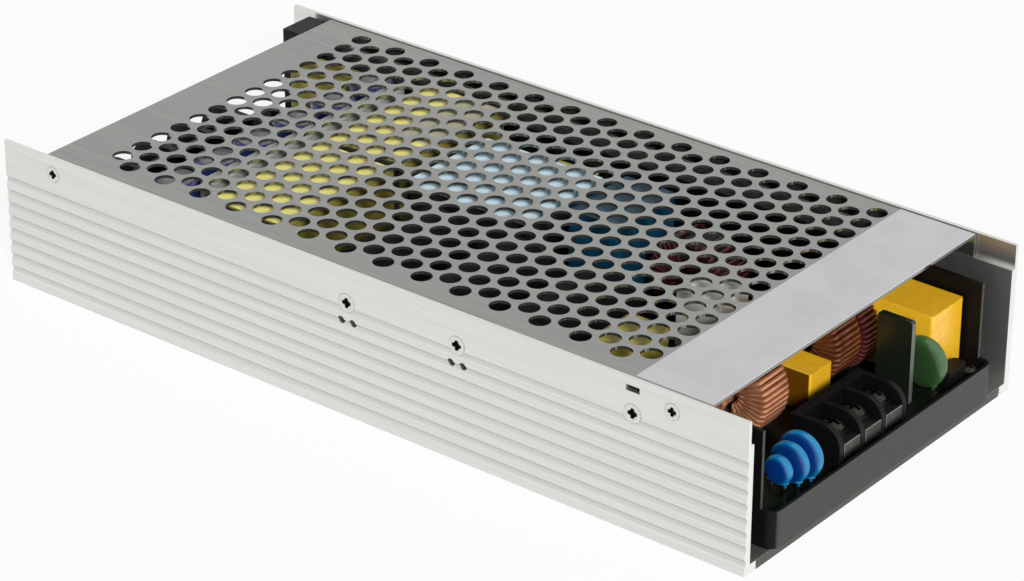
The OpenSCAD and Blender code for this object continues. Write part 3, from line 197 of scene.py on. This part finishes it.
def within(made, *limits, also=None):
    """A mask of the places inside all limits, and inside another mask if there is one. A limit is
    an axis and the two distances from zero on it, in millimetres, where the mask is 0 and 1."""
    tree = made.node_tree
    where = add_node(tree, "ShaderNodeTexCoord")
    apart = add_node(tree, "ShaderNodeSeparateXYZ", links={0: where.outputs["Object"]})
    mask = also
    for axis, none_mm, full_mm in limits:
        away = add_node(tree, "ShaderNodeMath", links={0: apart.outputs[axis]}, operation="ABSOLUTE")
        inside = add_node(
            tree, "ShaderNodeMapRange", {"From Min": none_mm * MM, "From Max": full_mm * MM},
            {"Value": away.outputs[0]},
        ).outputs[0]
        if mask is not None:
            inside = add_node(
                tree, "ShaderNodeMath", links={0: mask, 1: inside}, operation="MULTIPLY",
            ).outputs[0]
        mask = inside
    return mask


def surface(
    name, light, dark, grain_mm, rough, relief_mm,
    metal=0.0, ior=1.5, coat=0.0, shine=0.5, edge_mm=0.15, edge_wear_or_highlight=None,
):
    """A finish whose two tones, roughness and relief follow one grain, sized along X, Y and Z."""
    made = bpy.data.materials.new(name)
    made.use_nodes = True
    tree = made.node_tree
    tree.nodes.clear()
    place = add_node(tree, "ShaderNodeTexCoord")
    scaled = add_node(
        tree, "ShaderNodeMapping", {"Scale": [1 / (g * MM) for g in grain_mm]},
        {"Vector": place.outputs["Object"]},
    )
    grain = add_node(
        tree, "ShaderNodeTexNoise", {"Scale": 1.0, "Detail": 4.0}, {"Vector": scaled.outputs[0]},
    )
    grain_low, grain_high = 0.3, 0.7
    tones = add_node(tree, "ShaderNodeValToRGB", links={"Fac": grain.outputs["Fac"]})
    for stop, position, code in zip(tones.color_ramp.elements, (grain_low, grain_high), (dark, light)):
        stop.position = position
        stop.color = to_linear(code)
    gloss = add_node(
        tree, "ShaderNodeMapRange",
        {"From Min": grain_low, "From Max": grain_high, "To Min": rough[1], "To Max": rough[0]},
        {"Value": grain.outputs["Fac"]},
    )
    soft_edge = add_node(tree, "ShaderNodeBevel", {"Radius": edge_mm * MM}, samples=4)
    relief = add_node(
        tree, "ShaderNodeBump", {"Strength": 0.6, "Distance": relief_mm * MM},
        {"Height": grain.outputs["Fac"], "Normal": soft_edge.outputs[0]},
    )
    skin = add_node(
        tree, "ShaderNodeBsdfPrincipled",
        {
            "Metallic": metal, "IOR": ior, "Specular IOR Level": shine,
            "Coat Weight": coat, "Coat Roughness": 0.12,
        },
        {"Base Color": tones.outputs[0], "Roughness": gloss.outputs[0], "Normal": relief.outputs[0]},
    )
    add_node(tree, "ShaderNodeOutputMaterial", links={"Surface": skin.outputs[0]})
    # A lighter tone on the edges: rubbed wear on some finishes, a painted highlight on others.
    if edge_wear_or_highlight:
        flat = add_node(tree, "ShaderNodeNewGeometry")
        turned = add_node(
            tree, "ShaderNodeVectorMath", operation="DOT_PRODUCT",
            links={0: soft_edge.outputs[0], 1: flat.outputs["Normal"]},
        )
        rubbed_or_lit_edges = add_node(
            tree, "ShaderNodeMapRange",
            {"From Min": 0.99, "From Max": 0.9, "To Min": 0.0, "To Max": 0.7},
            {"Value": turned.outputs["Value"]},
        )
        lay_over(made, rubbed_or_lit_edges.outputs[0], edge_wear_or_highlight)
    return made


def dress(made, *names):
    """Gives CAD nodes a finish."""
    for name in names:
        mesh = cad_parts[name].data
        mesh.materials.clear()
        mesh.materials.append(made)


# Satin silver with faint die lines along the length, drawn 0.7 mm apart, coarser than real, so
# that they show. The grooves carry painted shade, darker than the lands. The end faces carry a
# painted highlight, brighter, except the floor's, which carries a painted shadow of the lip, and the edges
# are a little lighter from wear.
anodised = surface(
    "anodised_aluminium", "e2e2de", "dadad6", (60, 0.7, 0.7), (0.32, 0.42), 0.012,
    metal=0.95, edge_wear_or_highlight="e8e8e4",
)
half_width, fade = cad_high.y / MM, 0.1
land_end, groove_from, groove_to = 0.03, 0.35, 0.6
floor_inset, floor_top = 4.5, 2.5
groove_shade = within(
    anodised,
    ("Y", half_width - land_end, half_width - groove_from),
    ("Y", half_width - groove_to - fade, half_width - groove_to),
)
# Painted shade: the grooves are darkened.
lay_over(anodised, groove_shade, "d1d1cd")
# Painted highlight: the faces at the ends are lightened.
end_highlight = facing(anodised, "X", 0.93, 0.97)
lay_over(anodised, end_highlight, "f4f3f0")
# Painted shadow: the floor's end face under the lip is darkened.
lip_shadow = within(
    anodised,
    ("Y", half_width - floor_inset, half_width - floor_inset - fade),
    ("Z", floor_top + fade, floor_top),
    also=end_highlight,
)
lay_over(anodised, lip_shadow, "5a5954")
dress(anodised, "case_channel")

# Tray: one sheet of black polycarbonate, cut and folded up round the board, which it insulates
# from the channel. Its lip crosses both ends below the terminal blocks.
# Nearly black, with a velvet surface that hardly shines. Its faces turned to the ends carry a painted
# highlight, a satin grey.
black_sheet = surface(
    "black_polycarbonate", "0e0e0e", "0a0a0a", (1.2, 1.2, 1.2), (0.42, 0.52), 0.006,
    ior=1.585, shine=0.1, edge_mm=0.4,
)
# Painted highlight: faces turned to the ends are lightened to grey.
lay_over(black_sheet, facing(black_sheet, "X", 0.85, 0.95), "40403e")
dress(black_sheet, "insulating_tray")

# Boards: glass-epoxy laminate under solder mask, sawn to size. The main one is screwed down on
# turned brass spacers, and two small ones are soldered upright in it.
# Glossy green painted nearly black as painted shade, darker in the gaps between its copper areas, which
# are about 14 by 6 mm.
shaded_solder_mask = surface(
    "solder_mask_painted_shaded", "101a13", "0b120d", (2.2, 2.2, 2.2), (0.28, 0.42), 0.015, ior=1.52, shine=0.2,
)
mask_tree = shaded_solder_mask.node_tree
place = add_node(mask_tree, "ShaderNodeTexCoord")
areas = add_node(
    mask_tree, "ShaderNodeTexBrick",
    {"Scale": 1 / MM, "Mortar Size": 0.35, "Brick Width": 14.0, "Row Height": 6.0},
    {"Vector": place.outputs["Object"]},
)
lay_over(shaded_solder_mask, areas.outputs["Fac"], "060a07")
dress(shaded_solder_mask, "circuit_board", "control_board")
# The same mask painted lighter as lit, a painted highlight where it stands in the light, with the pale
# glass edge of the saw cut.
lit_solder_mask = surface(
    "solder_mask_painted_lit", "151b15", "101510", (2.2, 2.2, 2.2), (0.28, 0.42), 0.015, ior=1.52, coat=0.2,
)
lay_over(lit_solder_mask, facing(lit_solder_mask, "X", 0.85, 0.95), "50534a")
dress(lit_solder_mask, "upright_board")
# Bright yellow metal with the fine rings of the lathe tool, 0.15 mm apart.
turned_brass = surface(
    "turned_brass", "c9a357", "a98442", (8, 8, 0.15), (0.25, 0.4), 0.01, metal=1.0,
)
dress(turned_brass, "board_spacers")

# Terminal blocks, adjuster holder and fuse: injection-moulded flame-proof polyester, soldered to
# the board by the pins under them. The holder stands free by the far wall.
# Even black with the fine matt texture of the mould, drawn at 0.6 mm so that it shows.
moulding = surface(
    "black_polyester_moulding", "0e0d0e", "0a0a0b", (0.6, 0.6, 0.6), (0.42, 0.56), 0.012,
    ior=1.55, shine=0.15, edge_mm=0.25, edge_wear_or_highlight="181818",
)
dress(moulding, "ac_terminal_block", "dc_terminal_block", "adjuster_holder", "fuse")

# Terminal plates, bus bars and device clamps: stamped brass or steel strip, tin plated, pressed
# into the blocks or soldered to the board.
# Pale matt metal, a little cloudy where the plating crept, in patches of about 3 mm.
tinned = surface("matt_tin_plate", "d0cec8", "bfbdb7", (3, 3, 3), (0.45, 0.6), 0.008, metal=0.6)
dress(tinned, "bus_bars")
# The same plating painted darker as shaded, with a painted highlight on its edges.
shaded_tin_lit_edges = surface(
    "tin_plate_painted_shade_and_highlight", "5c5b57", "4a4946", (3, 3, 3), (0.3, 0.44), 0.008,
    metal=1.0, edge_mm=0.3, edge_wear_or_highlight="d2d0ca",
)
dress(shaded_tin_lit_edges, "ac_terminal_plates", "dc_terminal_plates")
# The same plating, much darker.
darker_tin = surface("darker_tin_plate", "4a4946", "3a3937", (2, 2, 2), (0.4, 0.55), 0.01, metal=1.0)
dress(darker_tin, "transistor_clamp_1", "transistor_clamp_2")

# Screws on the board and in the terminal blocks: cold-headed steel with pressed cross recesses,
# zinc plated.
# Zinc plating painted a dark grey as shaded, with the speckle of barrel plating, drawn at 0.9 mm so that
# it shows.
shaded_zinc = surface(
    "zinc_plate_painted_shaded", "4a4843", "37352f", (0.9, 0.9, 0.9), (0.34, 0.5), 0.01, metal=1.0,
)
dress(shaded_zinc, "board_screws", "ac_terminal_screws", "dc_terminal_screws")

# Disc parts: three ceramic discs dipped in blue epoxy and a varistor dipped in green. The dip
# leaves a crowned skin that runs a little way down the two tinned leads into the board.


def add_piece(name, shells, finishes, node):
    """A smooth piece made of shells of (vertices, faces, finish numbers), in place of a node."""
    verts, faces, kinds = [], [], []
    for shell_verts, shell_faces, shell_kinds in shells:
        faces += [[len(verts) + i for i in face] for face in shell_faces]
        verts += [tuple(v) for v in shell_verts]
        kinds += shell_kinds
    mesh = bpy.data.meshes.new(name)
    mesh.from_pydata(verts, [], faces)
    for finish in finishes:
        mesh.materials.append(finish)
    mesh.polygons.foreach_set("material_index", kinds)
    mesh.polygons.foreach_set("use_smooth", [True] * len(faces))
    mesh.set_sharp_from_angle(angle=math.radians(50))
    piece = bpy.data.objects.new(name, mesh)
    bpy.context.scene.collection.objects.link(piece)
    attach(piece, "root")
    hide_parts(node)


def lathe(profile, kinds, centre, axis, across, turns):
    """A closed shell: a profile of (radius, height) that starts and ends on the axis, turned."""
    beside = axis.cross(across)
    ways = [math.cos(a) * across + math.sin(a) * beside for a in turns]
    count = len(turns)
    verts = [centre + profile[0][1] * axis]
    for radius, height in profile[1:-1]:
        verts += [centre + radius * way + height * axis for way in ways]
    verts.append(centre + profile[-1][1] * axis)
    faces, marks = [], []
    for ring in range(len(profile) - 1):
        for k in range(count):
            a, b = 1 + (ring - 1) * count + k, 1 + (ring - 1) * count + (k + 1) % count
            if ring == 0:
                faces.append((0, b + count, a + count))
            elif ring == len(profile) - 2:
                faces.append((a, b, len(verts) - 1))
            else:
                faces.append((a, b, b + count, a + count))
            marks.append(kinds[ring])
    return verts, faces, marks


lead_mm, run_mm = 0.8, 0.88
lead_aside, rim_drop, lead_in = 0.48, 0.877, 0.3
crown_power, crown_root = 2.4, 0.25
along_x, along_y, along_z = Vector((1, 0, 0)), Vector((0, 1, 0)), Vector((0, 0, 1))
round_turns = [math.tau * k / 40 for k in range(40)]
lead_turns = [math.tau * k / 12 for k in range(12)]
# Tin-plated copper wire: thin, bright and nearly smooth.
lead_wire = surface("tinned_copper_wire", "a8a69f", "96948d", (2, 2, 2), (0.25, 0.38), 0.004, metal=1.0)
# Glossy colour with the slow waves of a dipped coat, about 3.5 mm long. The flat sides are
# painted darker than the rim as painted shade, so the rim reads lighter, as lit.
blue_dip = surface(
    "blue_dipped_epoxy", "127aab", "0d6997", (3.5, 3.5, 3.5), (0.22, 0.34), 0.08, ior=1.55, coat=0.1,
)
# Painted shade: the flat sides are darkened.
lay_over(blue_dip, facing(blue_dip, "Y", 0.6, 0.95), "032d69")
green_dip = surface(
    "green_dipped_epoxy", "3a5f36", "30502d", (3.5, 3.5, 3.5), (0.22, 0.34), 0.08, ior=1.55, coat=0.1,
)
# Painted shade: the flat sides are darkened.
lay_over(green_dip, facing(green_dip, "Y", 0.6, 0.95), "263d20")
for name, node, finish, slot in (
    ("dipped_disc_1", "y_capacitor_1", blue_dip, "blue_epoxy"),
    ("dipped_disc_2", "y_capacitor_2", blue_dip, "blue_epoxy"),
    ("dipped_disc_3", "y_capacitor_3", blue_dip, "blue_epoxy"),
    ("dipped_varistor", "varistor", green_dip, "green_epoxy"),
):
    low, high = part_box(node)
    radius, half_t = (high.x - low.x) / 2, (high.y - low.y) / 2
    centre = Vector(((low.x + high.x) / 2, (low.y + high.y) / 2, high.z - radius))
    crown = [
        (radius * max(1 - abs(s) ** crown_power, 0.0) ** crown_root, half_t * s)
        for s in (math.sin(math.radians(a)) for a in range(-90, 91, 9))
    ]
    shells = [lathe(crown, [0] * (len(crown) - 1), centre, along_y, along_z, round_turns)]
    for side in (-1, 1):
        foot = Vector((centre.x + side * lead_aside * radius, centre.y, low.z))
        rim = centre.z - low.z - rim_drop * radius
        top = rim + lead_in * radius
        wire, run = lead_mm / 2 * MM, run_mm * MM
        lead = [(0, 0), (wire, 0), (wire, top), (0, top)]
        dip = [
            (0, rim - run), (wire * 1.1, rim - run), (wire * 1.3, rim - 0.5 * run),
            (wire * 1.9, rim), (wire * 3.0, rim + 0.5 * run), (0, top),
        ]
        shells.append(lathe(lead, [1] * (len(lead) - 1), foot, along_z, along_x, lead_turns))
        shells.append(lathe(dip, [0] * (len(dip) - 1), foot, along_z, along_x, lead_turns))
    add_piece(name, shells, (finish, lead_wire), node)

# Film capacitors: wound film in moulded boxes filled with resin, standing on four small feet
# and soldered by their pins.
# Smooth plastic with a low gloss, rounded edges and a faint mottle of about 1.5 mm.
yellow_case, shaded_side_case = (
    surface(
        name, "edba2c", "e3ab20", (1.5, 1.5, 1.5), (0.24, 0.36), 0.01, ior=1.55, coat=0.2, edge_mm=0.5,
    )
    for name in ("yellow_capacitor_case", "yellow_case_with_painted_shadow_side")
)
dress(yellow_case, "x_capacitor")
# The small one carries a painted shadow, dark brown, on its side towards the near wall.
lay_over(shaded_side_case, facing(shaded_side_case, "Y", -0.85, -0.95, one_way=True), "603a06")
dress(shaded_side_case, "filter_capacitor_1")
olive_case = surface(
    "olive_capacitor_case", "c4b758", "b6a84b", (1.5, 1.5, 1.5), (0.28, 0.4), 0.01, ior=1.55, edge_mm=0.5,
)
dress(olive_case, "filter_capacitor_2", "output_filter_capacitor")
blue_case = surface(
    "blue_capacitor_case", "17506e", "12425b", (1.5, 1.5, 1.5), (0.28, 0.4), 0.01, ior=1.55, edge_mm=0.5,
)
dress(blue_case, "resonant_capacitor")

# Ring chokes: thick enamelled wire wound round each half of a ferrite ring that stands on edge.
# The turns lie side by side outside, and in two layers in the ring's bore.
# Pressed and ground ferrite: flat charcoal with a fine sandy grain, drawn at 0.3 mm.
ferrite = surface(
    "ground_ferrite", "2c2c2d", "222223", (0.3, 0.3, 0.3), (0.45, 0.6), 0.02, shine=0.3,
)
dress(ferrite, "line_choke_1_core", "line_choke_2_core", "line_choke_3_core", "line_choke_4_core")
# Copper under clear varnish: warm metal with a glassy skin. The second choke's is painted browner and
# darker, as painted shade.
copper = surface(
    "enamelled_copper", "e2a57c", "c97e56", (4, 4, 4), (0.24, 0.36), 0.01, metal=0.7, coat=0.4,
)
shaded_copper = surface(
    "enamelled_copper_painted_shaded", "8e5434", "733d24", (4, 4, 4), (0.24, 0.36), 0.01, metal=0.7, coat=0.4,
)
# Copper under red varnish: dark wine red, with less of the metal showing.
red_copper = surface(
    "red_enamelled_copper", "63292a", "4d1e1f", (4, 4, 4), (0.26, 0.38), 0.01, metal=0.4, coat=0.4,
)


def wound_half(node, wire_mm, bore_mm, turns, side):
    """One helix of round wire over one side of a ring whose axis lies along Y."""
    low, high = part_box(node)
    middle = (low + high) / 2
    wire = wire_mm * MM
    outer = (high.x - low.x) / 2 - wire / 2
    half_t = (high.y - low.y) / 2 - wire / 2
    bend, layer = wire * 0.8, wire * 0.9
    span = math.radians(150)
    per_turn, sides = 16, 8
    spots, outs = [], []
    for i in range(turns * per_turn):
        turn, k = divmod(i, per_turn)
        inner = bore_mm * MM - (layer if turn % 2 else 0.0)
        corner, step = divmod(k, 4)
        bent = math.radians(90 * corner + 30 * step)
        radius = outer - bend if corner in (0, 3) else inner + bend
        y = (half_t - bend) * (1 if corner < 2 else -1)
        angle = side + ((i + 0.5) / (turns * per_turn) - 0.5) * span
        away = Vector((math.cos(angle), 0.0, math.sin(angle)))
        reach = radius + bend * math.cos(bent)
        spots.append(middle + away * reach + along_y * (y + bend * math.sin(bent)))
        outs.append(away * math.cos(bent) + along_y * math.sin(bent))
    verts, faces = [], []
    last = len(spots) - 1
    for i, spot in enumerate(spots):
        along = (spots[min(i + 1, last)] - spots[max(i - 1, 0)]).normalized()
        across = along.cross(outs[i]).normalized()
        outward = across.cross(along)
        for k in range(sides):
            turned = math.tau * k / sides
            verts.append(spot + wire / 2 * (math.cos(turned) * outward + math.sin(turned) * across))
    for i in range(last):
        for k in range(sides):
            a, b = i * sides + k, i * sides + (k + 1) % sides
            faces.append((a, b, b + sides, a + sides))
    faces.append([k for k in reversed(range(sides))])
    faces.append([last * sides + k for k in range(sides)])
    return verts, faces, [0] * len(faces)


turns_a_half = 18
for number, wire_mm, bore_mm, finish, slot in (
    (1, 1.4, 4.6, copper, "copper_wire"),
    (2, 1.4, 4.6, shaded_copper, "copper_wire"),
    (3, 1.2, 4.3, red_copper, "red_wire"),
    (4, 1.2, 4.8, red_copper, "red_wire"),
):
    node = f"line_choke_{number}_winding"
    halves = [wound_half(node, wire_mm, bore_mm, turns_a_half, side) for side in (0.0, math.pi)]
    add_piece(f"wire_of_choke_{number}", halves, (finish,), node)

# Inrush resistor: a wire-wound rod cemented into a pressed and fired ceramic box, which two
# soldered leads hold to the board.
# Chalky white with a coarse dry grain of about half a millimetre.
ceramic = surface(
    "white_steatite_ceramic", "e6e5df", "d6d4cc", (0.5, 0.5, 0.5), (0.6, 0.75), 0.03, ior=1.6, edge_mm=0.3,
)
dress(ceramic, "inrush_resistor")

# Bulk capacitors: drawn aluminium cans lying across the board, in black shrink sleeve, with the
# rolled-in groove that holds each one's seal.
# Soft black plastic film, nearly matt, with the slow ripple of a shrunk sleeve.
black_sleeve = surface(
    "black_shrink_sleeve", "101012", "0b0b0d", (6, 6, 6), (0.42, 0.56), 0.03, ior=1.53, shine=0.1,
)
dress(black_sleeve, "bulk_capacitor_1", "bulk_capacitor_2", "bulk_capacitor_3")

# Boost choke: a ground ferrite core with a round middle leg, copper wound inside it, and a soft
# thermal sheet laid on top to take heat to the cover.
dress(ferrite, "pfc_choke_core")
dress(copper, "pfc_choke_winding")
# Filled silicone: pale blue, matt and slightly dimpled every millimetre or so.
blue_sheet = surface(
    "pale_blue_silicone_sheet", "dcf3fe", "d0ebf9", (1, 1, 1), (0.55, 0.7), 0.04, ior=1.41, edge_mm=0.3,
)
dress(blue_sheet, "pfc_choke_pad")

# Transformers: ferrite cores and copper windings wrapped in film tape, with a small taped one
# behind them. The far one of the pair carries a strip of soft sheet.
dress(ferrite, "transformer_1_core", "transformer_2_core")
dress(copper, "transformer_1_winding", "transformer_2_winding")
# Polyester film: pale yellow with a low gloss where it lies flat on top, and painted darker at its
# sides as painted shade, where the layers, drawn 0.8 mm apart, show.
tape = surface(
    "yellow_polyester_tape", "857b3a", "736a31", (12, 12, 0.8), (0.3, 0.42), 0.05, ior=1.6, coat=0.2,
)
# Painted shade: only faces turned up get the pale yellow; the sides keep the dark tone.
lay_over(tape, facing(tape, "Z", 0.85, 0.95), "fff48e")
dress(tape, "transformer_1_tape", "transformer_2_tape", "aux_transformer")
# Foamed rubber sheet: matt beige with open pores, drawn at 0.8 mm.
beige = surface("beige_foam_rubber", "c4bea6", "b5ae97", (0.8, 0.8, 0.8), (0.6, 0.75), 0.03)
dress(beige, "transformer_pad")

# Output capacitors: six drawn aluminium cans in navy sleeve, each with a bare top that the
# sleeve folds over and a scored cross that opens if the can vents.
# Glossy plastic film, dark blue, with a slow ripple.
navy_sleeve = surface(
    "navy_shrink_sleeve", "2b3774", "222d62", (6, 6, 6), (0.22, 0.36), 0.03, ior=1.53, coat=0.3,
)
# Drawn aluminium: plain silver grey with a fine grain.
can_metal = surface("drawn_aluminium", "a9a9ab", "9a9a9c", (0.4, 6, 6), (0.3, 0.42), 0.006, metal=0.9)
low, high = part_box("output_capacitors")
cans = 6
radius, height = (high.x - low.x) / 2, high.z - low.z
step = (high.y - low.y - 2 * radius) / (cans - 1)
fold, sunk, score, corner = 1.5 * MM, 0.25 * MM, 0.3 * MM, 1.0 * MM
neck_up, neck_half, neck_deep = 3.2 * MM, 0.8 * MM, 0.6 * MM
side_wall = [(0, 0), (radius - corner, 0), (radius - 0.3 * corner, 0.3 * corner), (radius, corner)]
side_wall += [
    (radius, neck_up - neck_half), (radius - neck_deep, neck_up), (radius, neck_up + neck_half),
]
shoulder = [
    (radius - corner * (1 - math.cos(a)), height - corner * (1 - math.sin(a)))
    for a in (math.radians(d) for d in range(0, 91, 15))
]
inside = radius - fold
cross_reach = 0.79 * inside
top = [(inside, height), (inside - 0.1 * MM, height - sunk)]
top += [(inside * part, height - sunk) for part in (0.8, 0.78, 0.5, 0.25, 0.06)] + [(0, height - sunk)]
profile = side_wall + shoulder + top
kinds = [0] * (len(side_wall) + len(shoulder)) + [1] * (len(top) - 1)
score_turn, even_turn = 2.5, 7.5
quarter = [0, score_turn] + [even_turn * k for k in range(1, 12)] + [90 - score_turn]
can_turns = [math.radians(90 * q + a) for q in range(4) for a in quarter]
shells = []
for i in range(cans):
    foot = Vector((low.x + radius, low.y + radius + i * step, low.z))
    verts, faces, marks = lathe(profile, kinds, foot, along_z, along_x, can_turns)
    for vert in verts:
        out = vert - foot
        flat_reach = max(abs(out.x), abs(out.y))
        on_cross = min(abs(out.x), abs(out.y)) < 0.01 * MM
        if on_cross and flat_reach < cross_reach and out.z > height - 2 * sunk:
            vert.z -= score
    shells.append((verts, faces, marks))
add_piece("output_cans", shells, (navy_sleeve, can_metal), "output_capacitors")

# Devices on the near wall: the rectifier and two pairs of transistors, moulded in epoxy. Clamps
# and a screw press them on soft thermal sheet, so that the wall takes their heat.
# Black epoxy: matt, with the fine spark texture of its mould, drawn at 0.4 mm.
epoxy = surface(
    "black_device_epoxy", "151516", "101011", (0.4, 0.4, 0.4), (0.4, 0.55), 0.012,
    ior=1.55, shine=0.15, edge_mm=0.25,
)
dress(epoxy, "bridge_rectifier", "transistor_pair_1", "transistor_pair_2")
# Filled silicone: matt grey with a fine dusty grain.
soft_sheet = surface(
    "grey_silicone_sheet", "b9bbc2", "a6a8b0", (0.5, 0.5, 0.5), (0.6, 0.75), 0.02, ior=1.41,
)
dress(soft_sheet, "thermal_pads")

# Cover: rolled aluminium sheet, punched with staggered holes and folded at its long edges, which
# stand inside the channel's rims and are screwed there.
# Greyer than the channel, with rolling grain along the case, drawn 0.5 mm apart, coarser than
# real. The sheared walls of the punched holes are burnished, and mirror what lies below.
rolled = surface(
    "rolled_aluminium", "979894", "8e8f8c", (25, 0.5, 0.5), (0.34, 0.45), 0.01, metal=0.9, edge_mm=0.05,
)
sheared = facing(rolled, "Z", 0.6, 0.4)
lay_over(rolled, sheared, "8b8c88")
rolled_skin = next(n for n in rolled.node_tree.nodes if n.type == "BSDF_PRINCIPLED")
burnished = add_node(
    rolled.node_tree, "ShaderNodeMix", {3: 0.12},
    {0: sheared, 2: rolled_skin.inputs["Roughness"].links[0].from_socket},
)
rolled.node_tree.links.new(burnished.outputs[0], rolled_skin.inputs["Roughness"])
dress(rolled, "top_cover")

# Label: a bare strip of polyester film, cut to fit between the cover's bends and stuck along
# its mains edge by its own adhesive.
# Pale cool grey, satin, and very slightly uneven over about 9 mm.
film = surface(
    "satin_label_film", "cfcfd2", "c6c6c9", (9, 9, 9), (0.36, 0.46), 0.004, ior=1.6, edge_mm=0.05,
)
dress(film, "label_plate")

# Case screws: cold-headed steel with pressed cross recesses, zinc plated. Four hold the cover,
# two pull the clamps to the near wall, and one with a nut holds the rectifier there.
# Brighter than the screws inside, which are painted darker as shaded, with the same speckle, and painted
# shade in the recesses.
zinc = surface(
    "zinc_plated_steel", "e6e5e0", "d4d2cc", (0.9, 0.9, 0.9), (0.28, 0.45), 0.01, metal=1.0,
)
recess_from, recess_to, recess_fade = 0.3, 2.0, 0.2
recess_shade = within(
    zinc,
    ("Y", half_width - recess_from + recess_fade, half_width - recess_from),
    ("Y", half_width - recess_to - recess_fade, half_width - recess_to),
)
# Painted shade: the cross recesses are darkened.
lay_over(zinc, recess_shade, "5e5a53")
dress(zinc, "cover_screws", "clamp_fasteners")
